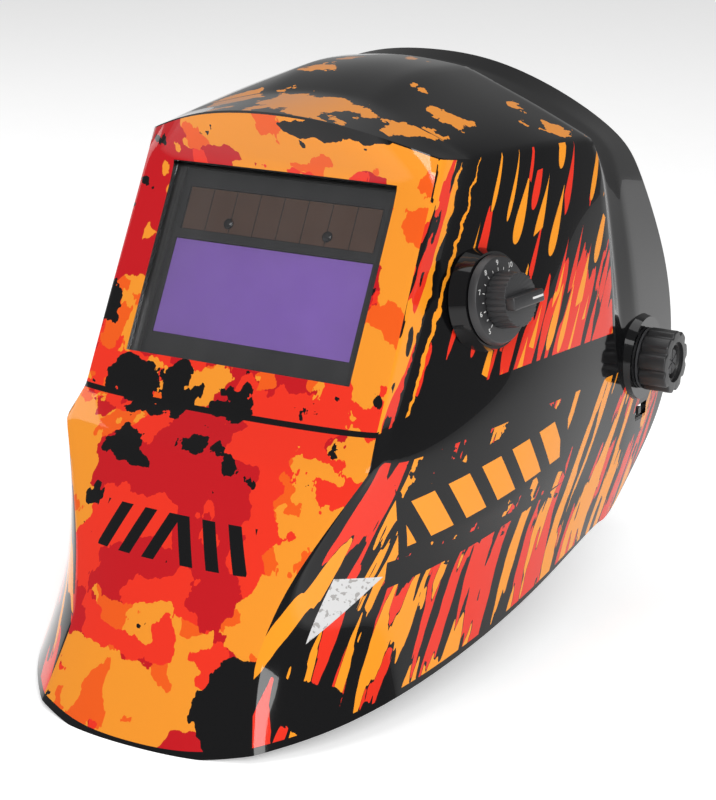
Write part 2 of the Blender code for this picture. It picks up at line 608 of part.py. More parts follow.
def make_pivots():
    slot = on_shell(*TILT_SLOT_AT)
    for sign, side in ((1, "left"), (-1, "right")):
        axis = side_axis(sign)
        knob_r = TENSION_KNOB_R
        knob = turned(f"tension_knob_{side}",
                      [(BOLT_R + 0.3 * MM, KNOB_FROM + TENSION_KNOB_LONG - 2.5 * MM),
                       (7 * MM, KNOB_FROM + TENSION_KNOB_LONG - 2.5 * MM),
                       (9 * MM, KNOB_FROM + TENSION_KNOB_LONG),
                       (knob_r - 1.5 * MM, KNOB_FROM + TENSION_KNOB_LONG - 0.4 * MM),
                       (knob_r, KNOB_FROM + TENSION_KNOB_LONG - 2 * MM),
                       (knob_r, KNOB_FROM + 3 * MM), (knob_r - 3 * MM, KNOB_FROM),
                       (BOLT_R + 0.3 * MM, KNOB_FROM),
                       (BOLT_R + 0.3 * MM, KNOB_FROM + TENSION_KNOB_LONG - 2.5 * MM)],
                      axis, black_satin, steps=40)
        lobes = 9
        for number in range(lobes):
            turn = Matrix.Rotation(2 * math.pi * number / lobes, 4, "Z")
            cut(knob, tool_cylinder(f"scallop_{side}_{number}_tool", 2.4 * MM, KNOB_FROM - 5 * MM,
                                    KNOB_FROM + 30 * MM, axis @ turn @ Matrix.Translation(
                                        (knob_r + 1.0 * MM, 0, 0)), sides=12))
        washers = (("outer_washer", WASHER_OUT, BOSS_R - 5 * MM), ("inner_washer",
                   WASHER_IN - WASHER, BOSS_R - 4 * MM))
        for name, low, radius in washers:
            ring = add(f"{name}_{side}", cylinder_mesh(name, radius, low, low + WASHER, axis,
                                                       sides=28), rubber)
            cut(ring, tool_cylinder(f"{name}_{side}_bore_tool", BOLT_R + 0.3 * MM, low - 9 * MM,
                                    low + 9 * MM, axis, sides=20))
        turned(f"pivot_bolt_{side}",
               [(0, KNOB_FROM + TENSION_KNOB_LONG - 4 * MM),
                (BOLT_R, KNOB_FROM + TENSION_KNOB_LONG - 4.5 * MM),
                (BOLT_R, PLATE_OUT - SIDE_PLATE - GAP), (9 * MM, PLATE_OUT - SIDE_PLATE - GAP),
                (8 * MM, PLATE_OUT - SIDE_PLATE - 2.4 * MM),
                (0, PLATE_OUT - SIDE_PLATE - 2.4 * MM)], axis, black_satin, steps=20)
    # The tilt lever on the left: a disc on the bolt with a finger in the shell's toothed slot.
    axis = side_axis(1)
    lever = add("tilt_lever", cylinder_mesh("tilt_lever", 12 * MM, PLATE_OUT + GAP, LEVER_OUT,
                                            axis, sides=28), black_satin)
    arm_low = (PLATE_OUT + GAP, PIVOT.y - 4 * MM, slot.z - 3 * MM)
    join(lever, tool_box("tilt_arm_tool", arm_low, (LEVER_OUT, PIVOT.y + 4 * MM, PIVOT.z)))
    join(lever, tool_box("tilt_finger_tool", (PLATE_OUT + 1 * MM, PIVOT.y - 1.5 * MM,
                         slot.z - 1.5 * MM), (slot.x - 0.5 * MM, PIVOT.y + 1.5 * MM,
                                              slot.z + 1.5 * MM)))
    cut(lever, tool_cylinder("tilt_lever_bore_tool", BOLT_R + 0.3 * MM, 0, 0.2, axis, sides=20))


# ---------------------------------------------------------------- headgear

BAND_Z = 24 * MM  # middle of the front band above the pivot
KNOB_FACE = NAPE_REACH + 6 * MM + NAPE_KNOB_LONG


def stow_turn():
    """How far the headgear is folded up, so that its ratchet knob touches the floor."""
    lowest = NAPE_DROP + NAPE_KNOB_R
    reach = math.hypot(KNOB_FACE, lowest)
    return math.asin(PIVOT.z / reach) - math.atan2(lowest, KNOB_FACE)


STOW = stow_turn()
HEADGEAR = Matrix.Translation((0, PIVOT.y, PIVOT.z)) @ Matrix.Rotation(-STOW, 4, "X")
NAPE = Matrix.Translation((0, NAPE_REACH, -NAPE_DROP))


def band(name, route, high, thick, finish, place):
    """A flat strap standing on edge along a route of (point, upright) pairs."""
    bm = bmesh.new()
    rows = []
    for i, (point, upright) in enumerate(route):
        before = route[max(i - 1, 0)][0]
        after = route[min(i + 1, len(route) - 1)][0]
        along = (after - before).normalized()
        up = (upright - along * upright.dot(along)).normalized() * high / 2
        out = along.cross(up).normalized() * thick / 2
        rows.append([bm.verts.new(point + up * a + out * b)
                     for a, b in ((1, 1), (1, -1), (-1, -1), (-1, 1))])
    for first, second in zip(rows, rows[1:]):
        for k in range(4):
            n = (k + 1) % 4
            bm.faces.new((first[k], first[n], second[n], second[k]))
    bm.faces.new(rows[0])
    bm.faces.new(rows[-1][::-1])
    bmesh.ops.recalc_face_normals(bm, faces=bm.faces)
    return add(name, mesh_from(bm, name, place), finish)


def front_route(half_width, reach, low, high, start, count):
    """Half an ellipse ahead of the pivots, rising from low at its ends to high at the brow."""
    route = []
    for i in range(count + 1):
        angle = math.radians(start + (180 - 2 * start) * i / count)
        lift = math.sin(angle) ** 1.5
        point = Vector((half_width * math.cos(angle), -reach * math.sin(angle),
                        low + (high - low) * lift))
        route.append((point, Vector((0, 0, 1))))
    return route


# Pegs of each side plate, ahead of the pivot and above it, that the three straps snap on to.
PEGS = {"front": (-15.5 * MM, 7.5 * MM), "crown": (0, 8 * MM), "back": (14.5 * MM, -7 * MM)}
PEG_R = 2.2 * MM
FLANGE_IN = HEAD_HALF_WIDTH + BAND_THICK / 2 + 0.4 * MM
BACK_INSET = BAND_THICK + 0.4 * MM  # the back bands lap inside the crown straps


def peg_hole(strap, name, sign, travel=0.0):
    """A hole for the peg, or a slot where the strap slides along it."""
    y, z = PEGS[name]
    half = PEG_R + GAP
    reach = sorted((sign * 60 * MM, sign * 90 * MM))
    cut(strap, tool_box(f"{strap.name}_slot_tool_{sign}", (reach[0], y - half - travel, z - half),
                        (reach[1], y + half + travel, z + half), HEADGEAR))


def make_side_plate(sign, side):
    world = side_axis(sign)
    plate_in = PLATE_OUT - SIDE_PLATE
    plate = add(f"side_plate_{side}", cylinder_mesh("hub", 13 * MM, plate_in, PLATE_OUT, world,
                                                    sides=28), grey_satin)
    pieces = (
        ("web", plate_in + 0.15 * MM, PLATE_OUT - 0.15 * MM, 12 * MM, -14 * MM, 4 * MM),
        ("shelf", FLANGE_IN + 0.3 * MM, PLATE_OUT - 0.4 * MM, 11 * MM, -13.8 * MM, -11 * MM),
        ("flange", FLANGE_IN, FLANGE_IN + 2.4 * MM, 20 * MM, -14.3 * MM, 13 * MM),
    )
    for piece, near, far, half, low, high in pieces:
        span = sorted((sign * near, sign * far))
        join(plate, tool_box(f"plate_{piece}_{side}_tool", (span[0], -half, low),
                             (span[1], half, high), HEADGEAR))
    for name, (y, z) in PEGS.items():
        place = HEADGEAR @ Matrix.Translation((0, y, z)) @ Matrix.Rotation(math.pi / 2, 4, "Y")
        depth = BACK_INSET + BAND_THICK if name == "back" else BAND_THICK
        reach = sorted((sign * (FLANGE_IN - depth - 1.6 * MM), sign * (FLANGE_IN + 1 * MM)))
        join(plate, tool_cylinder(f"peg_{name}_{side}_tool", PEG_R, *reach, place, sides=16))
    cut(plate, tool_cylinder(f"plate_bore_{side}_tool", BOLT_R + 0.3 * MM, PLATE_OUT - 4 * MM,
                             PLATE_OUT + 5 * MM, world, sides=20))


def make_headgear():
    front = band("headband_front", front_route(HEAD_HALF_WIDTH, BROW_REACH, 7 * MM, BAND_Z, 7, 24),
                 BAND_HIGH, BAND_THICK, grey_satin, HEADGEAR)
    band("sweatband", front_route(HEAD_HALF_WIDTH - BAND_THICK - 2.6 * MM,
                                  BROW_REACH - BAND_THICK - 2.6 * MM, 9 * MM, BAND_Z, 30, 16),
         BAND_HIGH - 2 * MM, 4.4 * MM, towelling, HEADGEAR)
    for sign, side in ((1, "left"), (-1, "right")):
        peg_hole(front, "front", sign)
        make_side_plate(sign, side)
        # Crown strap half: up from its peg, over the head to just past the middle.
        lap = 0 if sign > 0 else BAND_THICK + 0.4 * MM
        route = []
        for i in range(15):
            angle = math.radians(1 + 103 * i / 14)
            inset = lap * math.sin(angle)
            route.append((Vector((sign * (HEAD_HALF_WIDTH - inset) * math.cos(angle), 0,
                                  (STRAP_HEIGHT - inset) * math.sin(angle))), Vector((0, 1, 0))))
        crown = band(f"crown_strap_{side}", route, 18 * MM, BAND_THICK, grey_satin, HEADGEAR)
        peg_hole(crown, "crown", sign)
        # Back band half: from its peg round behind the head into the ratchet housing.
        wide = HEAD_HALF_WIDTH - BACK_INSET
        route = cubic(Vector((sign * wide, 2 * MM, -7 * MM)),
                      Vector((sign * wide, NAPE_REACH * 0.75, -10 * MM)),
                      Vector((sign * wide * 0.8, NAPE_REACH, -NAPE_DROP)),
                      Vector((sign * (PINION_R + 1.8 * MM), NAPE_REACH, -NAPE_DROP)), 14)
        back = band(f"back_band_{side}", [(point, Vector((0, 0, 1))) for point in route],
                    15 * MM, BAND_THICK, grey_satin, HEADGEAR)
        peg_hole(back, "back", sign, NAPE_TRAVEL)


def make_nape():
    place = HEADGEAR @ NAPE
    case = add("ratchet_housing", box_mesh("ratchet_housing", (-21 * MM, -7.6 * MM, -13 * MM),
               (21 * MM, 5.6 * MM, 13 * MM), place, 2 * MM), black_satin)
    cut(case, tool_box("housing_slot_tool", (-40 * MM, -5.6 * MM, -9.5 * MM),
                       (40 * MM, 3.4 * MM, 9.5 * MM), place))
    turn = place @ Matrix.Rotation(-math.pi / 2, 4, "X")  # local +Z now points back
    cut(case, tool_cylinder("housing_bore_tool", 3.5 * MM, 0, 20 * MM, turn, sides=20))
    knob = turned("ratchet_knob",
                  [(0, 6 * MM + NAPE_KNOB_LONG), (NAPE_KNOB_R - 2 * MM, 6 * MM + NAPE_KNOB_LONG),
                   (NAPE_KNOB_R, 4 * MM + NAPE_KNOB_LONG), (NAPE_KNOB_R, 6 * MM),
                   (3.2 * MM, 6 * MM), (3.2 * MM, 3.3 * MM), (0, 3.3 * MM)],
                  turn, black_satin, steps=36)
    pinion = add("ratchet_pinion", cylinder_mesh("ratchet_pinion", PINION_R, -4.6 * MM, 3 * MM,
                                                 turn, sides=24), black_satin)
    teeth = 8
    for number in range(teeth):
        spin = Matrix.Rotation(2 * math.pi * number / teeth, 4, "Z")
        cut(pinion, tool_cylinder(f"pinion_gap_{number}_tool", 0.9 * MM, -9 * MM, 9 * MM,
                                  turn @ spin @ Matrix.Translation((PINION_R, 0, 0)), sides=8))
    lobes = 12
    for number in range(lobes):
        spin = Matrix.Rotation(2 * math.pi * (number + 0.5) / lobes, 4, "Z")
        cut(knob, tool_cylinder(f"knob_grip_{number}_tool", 2.0 * MM, 7.5 * MM, 30 * MM,
                                turn @ spin @ Matrix.Translation((NAPE_KNOB_R + 0.8 * MM, 0, 0)),
                                sides=10))
    add("nape_pad", box_mesh("nape_pad", (-23 * MM, -12.4 * MM, -14 * MM),
                             (23 * MM, -7.9 * MM, 14 * MM), place, 1.6 * MM), towelling)


clear_scene()
make_shell()
make_lenses()
make_controls()
make_holder()
make_bail()
make_shade_dial()
make_pivots()
make_headgear()
make_nape()
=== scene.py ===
import math

import bmesh
import bpy
from mathutils import Matrix, Vector


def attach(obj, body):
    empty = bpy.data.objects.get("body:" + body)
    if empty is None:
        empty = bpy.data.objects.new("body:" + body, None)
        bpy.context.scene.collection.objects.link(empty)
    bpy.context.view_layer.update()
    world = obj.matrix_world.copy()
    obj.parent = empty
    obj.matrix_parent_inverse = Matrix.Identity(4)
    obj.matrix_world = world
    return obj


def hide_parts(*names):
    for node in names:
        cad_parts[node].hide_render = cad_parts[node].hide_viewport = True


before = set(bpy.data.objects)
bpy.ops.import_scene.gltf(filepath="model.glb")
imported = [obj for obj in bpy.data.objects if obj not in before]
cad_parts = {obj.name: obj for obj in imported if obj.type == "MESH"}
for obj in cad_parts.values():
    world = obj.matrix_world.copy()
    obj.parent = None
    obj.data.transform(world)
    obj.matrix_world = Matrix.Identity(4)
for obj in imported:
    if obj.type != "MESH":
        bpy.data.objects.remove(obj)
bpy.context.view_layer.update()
MM = 0.001

# Shell: one injection-moulded nylon mask, 2.6 mm thick. The cage holds its creases; subdivision
# rounds it, Solidify gives the wall, and the window, pivots, dial seat and slot are cut from it.
# Each cage point is (out from the middle, back, up) in millimetres on a 224 x 295 mm mask.
FACE_ROWS = {
    "rim": [(0, -172.5, 1.5), (28, -170.5, 2), (51, -160, 6), (72, -138, 10.5), (90, -96, 17),
            (105, -26, 30.5), (106, 48, 43.5)],
    "lip": [(0, -154, 34), (25, -153, 34.5), (44, -146.5, 36.5), (57, -136, 38.5), (84, -98, 44),
            (102, -26, 54), (107.5, 51, 58)],
    "scoop_low": [(0, -146, 56), (28, -144, 57), (48, -136, 59), (62, -125, 59), (86, -82, 61),
                  (102, -20, 67), (108.5, 53, 73)],
    "scoop_high": [(0, -134, 77), (31, -132, 78), (57, -124, 80), (68, -114, 78), (90, -72, 77.5),
                   (105, -14, 78), (109.5, 53, 86)],
    "chin_top": [(0, -114, 107), (48, -112, 108), (73.5, -106, 109.5), (75.5, -97, 111),
                 (87, -68, 115), (105, -10, 119.5), (110.5, 53.5, 116)],
    "seam": [(0, -97.5, 120), (58, -97, 121), (70.5, -95, 121.7), (73, -84, 123),
             (84, -60, 129), (103, -10, 134), (109.5, 52.5, 130)],
    "window_low": [(0, -78.5, 154), (58, -78.5, 154), (70.3, -77.5, 154), (73.8, -64.5, 153),
                   (84, -42, 158), (102, 4, 158.5), (107.5, 54, 158)],
    "window_high": [(0, -47, 211), (58, -47, 211), (69.4, -46.5, 211), (74, -28.5, 208.5),
                    (84, -8, 208.5), (95, 24, 207.5), (100.5, 55.5, 205)],
    "brow": [(0, -61, 240), (38, -55.5, 235.5), (69.2, -40.5, 223), (74.3, -20.5, 219.6),
             (82, 4, 220), (91, 28, 219.5), (95.5, 54.5, 217.5)],
}
CROWN_ROWS = [
    [(0, -16.5, 240.5), (26, -19.5, 238.5), (60, -29.5, 230.5)],
    [(0, 6.5, 247), (26, 4.5, 244.5), (59, -5.5, 232)],
    [(0, 32.5, 249.5), (28, 30.5, 246.5), (62, 24.5, 232.5)],
    [(0, 59.5, 247.5), (32, 58.5, 243.8), (66, 55.5, 231)],
]
REAR_ROWS = [
    [(0, 65.5, 242), (0, 76.5, 243), (0, 86.5, 246)],
    [(32, 65, 238.2), (33, 76.5, 240), (33, 87.5, 243.5)],
    [(65, 62.5, 226), (66, 77.5, 227.5), (67, 92.5, 229)],
    [(93, 62.5, 212.5), (92.5, 78.5, 213), (92, 98.5, 211)],
    [(98, 62.5, 202), (98.5, 77.5, 200), (97, 106.5, 196)],
    [(104.5, 62.5, 158), (107, 77, 158), (106.5, 120.5, 154)],
    [(108.5, 63.5, 129), (110.5, 78, 128), (110.5, 121.5, 124)],
    [(111, 64.5, 114), (112, 79, 112), (112, 118.5, 104)],
    [(110.5, 64.5, 86), (111.5, 78.5, 86), (112, 109.5, 86)],
    [(109.5, 62, 73), (110.5, 74.5, 73.5), (111, 98.5, 73)],
    [(108.5, 58.5, 58.5), (109, 67, 59), (109, 82.5, 59)],
    [(106.5, 53.5, 42), (107, 59.5, 43.5), (107.5, 66.5, 47)],
]
BASE_SHIFT, BASE_DROP = 0.11, 3


def on_shell(point):
    return Vector((point[0], point[1] + BASE_SHIFT, point[2] - BASE_DROP)) * MM


def facing(point, normal, up=Vector((0, 0, 1))):
    """A frame at point whose +Z is normal and whose +Y leans as near up as it can."""
    z = normal.normalized()
    x = up.cross(z).normalized()
    return Matrix.Translation(point) @ Matrix((x, z.cross(x), z)).transposed().to_4x4()


low, high = on_shell(FACE_ROWS["window_low"][0]), on_shell(FACE_ROWS["window_high"][0])
window_up = (high - low).normalized()
window_out = Vector((1, 0, 0)).cross(window_up)
WINDOW = facing((low + high) / 2 - window_up * 9.3 * MM, window_out, window_up)
PIVOT = on_shell((112, 82.5, 113.5))
DIAL = facing(on_shell((88.5, -31, 164.5)), Vector((0.965, -0.17, 0.18)))


def side_axis(sign):
    """A frame on the pivot axis whose +Z points out of that side of the shell."""
    return Matrix.Translation((0, PIVOT.y, PIVOT.z)) @ Matrix.Rotation(sign * math.pi / 2, 4, "Y")


def solo(obj):
    """Only this object is selected and active."""
    if bpy.context.mode != "OBJECT":
        bpy.ops.object.mode_set(mode="OBJECT")
    bpy.ops.object.select_all(action="DESELECT")
    obj.select_set(True)
    bpy.context.view_layer.objects.active = obj


def modify(obj, kind, **settings):
    """Adds a modifier, applies it and gives the object back."""
    solo(obj)
    modifier = obj.modifiers.new(kind, kind)
    for key, value in settings.items():
        setattr(modifier, key, value)
    bpy.ops.object.modifier_apply(modifier=modifier.name)
    return obj


def drum(name, radius, bottom, top, place, top_radius=None, sides=64):
    """A round solid along place's +Z, with its place in its mesh."""
    bpy.ops.object.select_all(action="DESELECT")
    bpy.ops.mesh.primitive_cone_add(vertices=sides, radius1=radius, radius2=top_radius or radius,
                                    depth=top - bottom, location=(0, 0, (top + bottom) / 2))
    return settle(name, place)


def block(name, lowest, highest, place=Matrix()):
    """A box between two corners in place's own axes."""
    bpy.ops.object.select_all(action="DESELECT")
    bpy.ops.mesh.primitive_cube_add(size=1)
    obj = bpy.context.object
    size = Vector(highest) - Vector(lowest)
    obj.data.transform(Matrix.Translation((Vector(highest) + Vector(lowest)) / 2)
                       @ Matrix.Diagonal((*size, 1)))
    return settle(name, place)


def settle(name, place=Matrix()):
    """Names the new primitive and bakes where it stands into its mesh."""
    obj = bpy.context.object
    obj.name = obj.data.name = name
    obj.data.transform(place @ obj.matrix_world)
    obj.matrix_world = Matrix()
    return obj


def carve(obj, tool, operation="DIFFERENCE"):
    """A boolean with a tool that is thrown away afterwards."""
    modify(obj, "BOOLEAN", object=tool, operation=operation, solver="EXACT")
    bpy.data.objects.remove(tool, do_unlink=True)
    return obj


# The UV map "panels" counts cage columns across and cage rows up (rim 0 to brow 8, crown 9 to
# 12; the rear rings are 20 and more), so that the paint knows which moulded panel it is on.
cage = bmesh.new()
panels = cage.loops.layers.uv.new("panels")
crease = cage.edges.layers.float.new("crease_edge")


def lay(lower, upper, lower_uv, upper_uv):
    """A strip of quads between two rows of points, each with its panel coordinates."""
    for i in range(len(lower) - 1):
        face = cage.faces.new((lower[i], lower[i + 1], upper[i + 1], upper[i]))
        corners = (lower_uv[i], lower_uv[i + 1], upper_uv[i + 1], upper_uv[i])
        for loop, corner in zip(face.loops, corners):
            loop[panels].uv = corner


face_rows = [[cage.verts.new(on_shell(p)) for p in row] for row in FACE_ROWS.values()]
brow = face_rows[-1]
crown = [[cage.verts.new(on_shell(p)) for p in row] + [side]
         for row, side in zip(CROWN_ROWS, brow[3:])]
for v, (lower, upper) in enumerate(zip(face_rows, face_rows[1:])):
    lay(lower, upper, [(u, v) for u in range(7)], [(u, v + 1) for u in range(7)])
for v, (lower, upper) in enumerate(zip(crown, crown[1:]), 9):
    lay(lower, upper, [(u, v) for u in range(4)], [(u, v + 1) for u in range(4)])
lay(brow[:3], crown[0][:3], [(u, 8) for u in range(3)], [(u, 9) for u in range(3)])
corner = cage.faces.new((brow[2], brow[3], crown[0][2]))
for loop, uv in zip(corner.loops, ((2, 8), (3, 8.5), (2, 9))):
    loop[panels].uv = uv
rings = [crown[3] + [row[-1] for row in reversed(face_rows[:-1])]]
rings += [[cage.verts.new(on_shell(row[k])) for row in REAR_ROWS] for k in range(3)]
for k, (inner, outer) in enumerate(zip(rings, rings[1:])):
    lay(inner, outer, [(k, 20 + i) for i in range(12)], [(k + 1, 20 + i) for i in range(12)])


def sharpen(line, amount):
    for a, b in zip(line, line[1:]):
        cage.edges.get((a, b))[crease] = amount


lip, scoop_high, chin_top, seam, window_high = (face_rows[k] for k in (1, 3, 4, 5, 7))
sharpen(chin_top[:4], 0.6)
sharpen(seam[:4], 0.85)
sharpen(lip[:3], 0.45)
sharpen(window_high[:3], 0.45)
sharpen(brow[:4], 1.0)
sharpen(brow[3:], 0.62)
sharpen(crown[0], 0.6)
sharpen([row[1] for row in crown], 0.5)
sharpen([row[2] for row in face_rows], 0.8)
sharpen([row[3] for row in face_rows[4:]], 0.62)
sharpen(scoop_high[3:6], 0.6)
sharpen(rings[0][:8], 0.62)
sharpen(rings[1][:8], 0.5)
sharpen(rings[2][:8], 0.62)
bmesh.ops.recalc_face_normals(cage, faces=cage.faces)
mesh = bpy.data.meshes.new("shell_skin")
cage.to_mesh(mesh)
cage.free()
shell = bpy.data.objects.new("shell_skin", mesh)
bpy.context.scene.collection.objects.link(shell)
for name in ("painted_nylon", "bare_nylon"):
    mesh.materials.append(bpy.data.materials.new(name))
WALL = 2.6 * MM
modify(shell, "MIRROR", merge_threshold=0.0001)
modify(shell, "SUBSURF", levels=3, render_levels=3, uv_smooth="NONE")
modify(shell, "SOLIDIFY", thickness=WALL, offset=-1, use_even_offset=True,
       material_offset=1)
BOSS_FACE = PIVOT.x + 1.4 * MM
BOSS_DEEP = 7 * MM
DIAL_BACK = -4.8 * MM  # the back of the thick seat that the dial's switch sits in
for sign in (1, -1):
    carve(shell, drum("boss", 21 * MM, BOSS_FACE - BOSS_DEEP, BOSS_FACE, side_axis(sign), 19 * MM),
          "UNION")
    carve(shell, drum("bolt_hole", 4.4 * MM, BOSS_FACE - 10 * MM, BOSS_FACE + 5 * MM,
                      side_axis(sign), sides=32))
carve(shell, drum("dial_seat", 22 * MM, DIAL_BACK, 2.4 * MM, DIAL, 20 * MM), "UNION")
carve(shell, drum("dial_pocket", 11 * MM, DIAL_BACK - 12 * MM, DIAL_BACK + 0.15 * MM, DIAL))
carve(shell, drum("dial_hole", 5 * MM, DIAL_BACK - 9 * MM, 7.4 * MM, DIAL, sides=32))
carve(shell, block("window", (-54 * MM, -42 * MM, -9 * MM), (54 * MM, 42 * MM, 9 * MM), WINDOW))
carve(shell, block("lens_seat", (-58.3 * MM, -48.3 * MM, -18.7 * MM),
                   (58.3 * MM, 48.3 * MM, -2.75 * MM), WINDOW))
# Four posts take the lens holder's screws, and a notched slot under the left pivot shows the
# tilt lever.
for x in (-60.5 * MM, 60.5 * MM):
    for y in (-33 * MM, 33 * MM):
        post = WINDOW @ Matrix.Translation((x, y, 0))
        carve(shell, drum("screw_post", 3.6 * MM, -7.9 * MM, -1.2 * MM, post, sides=24), "UNION")
        carve(shell, drum("screw_bore", 1.5 * MM, -11.9 * MM, -3.1 * MM, post, sides=16))
slot_at = on_shell((112, 84, 88))
for back, up, long, high in ((0, 0, 6, 3), (-4.6, -3, 0.5, 1.4), (-2.3, -3.2, 0.5, 1.4),
                             (0, -3.3, 0.5, 1.4), (2.3, -3.2, 0.5, 1.4), (4.6, -3, 0.5, 1.4)):
    middle = slot_at + Vector((0, back, up)) * MM
    reach = Vector((9, long, high)) * MM
    carve(shell, block("tilt_slot", middle - reach, middle + reach))
carve(shell, block("floor", (-0.2, -0.4, -0.05), (0.2, 0.2, 0)))
solo(shell)
bpy.ops.object.shade_smooth_by_angle(angle=math.radians(32))
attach(shell, "shell")
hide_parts("shell")

# Shell's paint: torn camouflage in crimson, vermilion and ochre over the face and chin, flames and
# drops that lean back along the black sides, all under one clear gloss coat. Bare black nylon
# shows inside, in the rear groove and band, and along the thin bead of the rim.
CRIMSON, VERMILION = (0.50, 0.006, 0.011), (0.78, 0.030, 0.012)
OCHRE, AMBER, EMBER = (0.82, 0.28, 0.022), (0.90, 0.31, 0.016), (0.80, 0.10, 0.008)
PITCH = (0.004, 0.004, 0.0045)
LEAN = math.radians(57)  # the flames rise back at this angle


def put(tree, kind, inputs=None, **settings):
    """A new node; its inputs are given by name or number, as values or as sockets to link."""
    made = tree.nodes.new("ShaderNode" + kind)
    for key, value in settings.items():
        setattr(made, key, value)
    for key, value in (inputs or {}).items():
        if isinstance(value, bpy.types.NodeSocket):
            tree.links.new(value, made.inputs[key])
        else:
            made.inputs[key].default_value = value
    return made


def calc(tree, operation, a, b=0.0, c=0.0, clamp=False):
    return put(tree, "Math", {0: a, 1: b, 2: c}, operation=operation, use_clamp=clamp).outputs[0]


def between(tree, value, lowest, highest):
    """1 where the value lies between two limits."""
    above = calc(tree, "GREATER_THAN", value, lowest)
    return calc(tree, "MULTIPLY", above, calc(tree, "LESS_THAN", value, highest))


def vector(tree, operation, a, b=None, scale=None):
    inputs = {0: a}
    if b is not None:
        inputs[1] = b
    if scale is not None:
        inputs["Scale"] = scale
    made = put(tree, "VectorMath", inputs, operation=operation)
    return made.outputs["Value" if operation in ("LENGTH", "DOT_PRODUCT") else "Vector"]


def over(tree, mask, below, above):
    """The colour above where the mask is 1, and the colour below elsewhere."""
    made = put(tree, "Mix", {"Factor": mask}, data_type="RGBA")
    for key, colour in ((6, below), (7, above)):
        if isinstance(colour, bpy.types.NodeSocket):
            tree.links.new(colour, made.inputs[key])
        else:
            made.inputs[key].default_value = (*colour, 1)
    return made.outputs[2]


def group(name, inputs, outputs):
    """A node group with the named sockets: (tree, its inputs, its output node)."""
    tree = bpy.data.node_groups.new(name, "ShaderNodeTree")
    for in_out, sockets in (("INPUT", inputs), ("OUTPUT", outputs)):
        for socket, kind in sockets:
            tree.interface.new_socket(socket, in_out=in_out, socket_type="NodeSocket" + kind)
    return tree, tree.nodes.new("NodeGroupInput").outputs, tree.nodes.new("NodeGroupOutput")


def use(tree, made, inputs):
    return put(tree, "Group", inputs, node_tree=made).outputs


# A patch of paint with a torn edge: more of it where Pull is high.
torn, take, give = group("torn_patch", (("Vector", "Vector"), ("Size", "Float"),
                         ("Pull", "Float"), ("Seed", "Vector")), (("Mask", "Float"),))
scaled = vector(torn, "ADD", vector(torn, "DIVIDE", take["Vector"], put(torn, "CombineXYZ", {
    0: take["Size"], 1: take["Size"], 2: take["Size"]}).outputs[0]), take["Seed"])
base = put(torn, "TexNoise", {"Vector": scaled, "Scale": 1.0, "Detail": 2.5, "Roughness": 0.5})
fringe = put(torn, "TexNoise", {"Vector": vector(torn, "MULTIPLY", scaled, (9, 9, 3.2)),
                                "Scale": 1.0, "Detail": 2.0, "Roughness": 0.6})
shape = calc(torn, "MULTIPLY_ADD", calc(torn, "SUBTRACT", fringe.outputs["Fac"], 0.5), 0.11,
             calc(torn, "ADD", base.outputs["Fac"], take["Pull"]))
torn.links.new(calc(torn, "GREATER_THAN", shape, 0.5), give.inputs["Mask"])

# Paint is drawn towards a spot: Sum grows by Strength at Centre and fades out at Reach.
spot, take, give = group("drawn_to", (("Vector", "Vector"), ("Centre", "Vector"),
                         ("Reach", "Vector"), ("Strength", "Float"), ("Sum", "Float")),
                         (("Sum", "Float"),))
away = vector(spot, "LENGTH", vector(spot, "DIVIDE", vector(
    spot, "SUBTRACT", take["Vector"], take["Centre"]), take["Reach"]))
near = calc(spot, "SUBTRACT", 1.0, calc(spot, "MULTIPLY", away, away), clamp=True)
spot.links.new(calc(spot, "MULTIPLY_ADD", near, take["Strength"], take["Sum"]),
               give.inputs["Sum"])

# Long flames along the lean, with a fine black outline at their edge.
flames, take, give = group("flames", (("Vector", "Vector"), ("Width", "Float"),
                           ("Length", "Float"), ("Pull", "Float"), ("Seed", "Vector")),
                           (("Mask", "Float"), ("Outline", "Float")))
turned = put(flames, "VectorRotate", {"Vector": take["Vector"], "Angle": -LEAN},
             rotation_type="X_AXIS").outputs[0]
stretched = vector(flames, "ADD", vector(flames, "DIVIDE", turned, put(
    flames, "CombineXYZ", {0: 400.0, 1: take["Length"], 2: take["Width"]}).outputs[0]),
    take["Seed"])
base = put(flames, "TexNoise", {"Vector": stretched, "Scale": 1.0, "Detail": 1.6,
                                "Roughness": 0.45})
fringe = put(flames, "TexNoise", {"Vector": vector(flames, "MULTIPLY", stretched, (5, 5, 4)),
                                  "Scale": 1.0, "Detail": 1.0})
shape = calc(flames, "MULTIPLY_ADD", calc(flames, "SUBTRACT", fringe.outputs["Fac"], 0.5), 0.08,
             calc(flames, "ADD", base.outputs["Fac"], take["Pull"]))
flames.links.new(calc(flames, "GREATER_THAN", shape, 0.5), give.inputs["Mask"])
flames.links.new(between(flames, shape, 0.488, 0.5), give.inputs["Outline"])

# Drops thrown along the lean: one in a cell, fat below and drawn to a point above.
drops, take, give = group("thrown_drops", (("Vector", "Vector"), ("Width", "Float"),
                          ("Length", "Float"), ("Share", "Float")),
                          (("Mask", "Float"), ("Chance", "Float")))
turned = put(drops, "VectorRotate", {"Vector": take["Vector"], "Angle": -LEAN},
             rotation_type="X_AXIS").outputs[0]
split = put(drops, "SeparateXYZ", {0: turned})
cells = put(drops, "CombineXYZ", {0: calc(drops, "DIVIDE", split.outputs[2], take["Width"]),
                                  1: calc(drops, "DIVIDE", split.outputs[1], take["Length"])})
cell = put(drops, "TexVoronoi", {"Vector": cells.outputs[0], "Scale": 1.0},
           voronoi_dimensions="2D")
offset = put(drops, "SeparateXYZ", {0: vector(drops, "SUBTRACT", cells.outputs[0],
                                              cell.outputs["Position"])})
chance = put(drops, "SeparateColor", {0: cell.outputs["Color"]})
rise = calc(drops, "MULTIPLY", offset.outputs[1], 2.1)
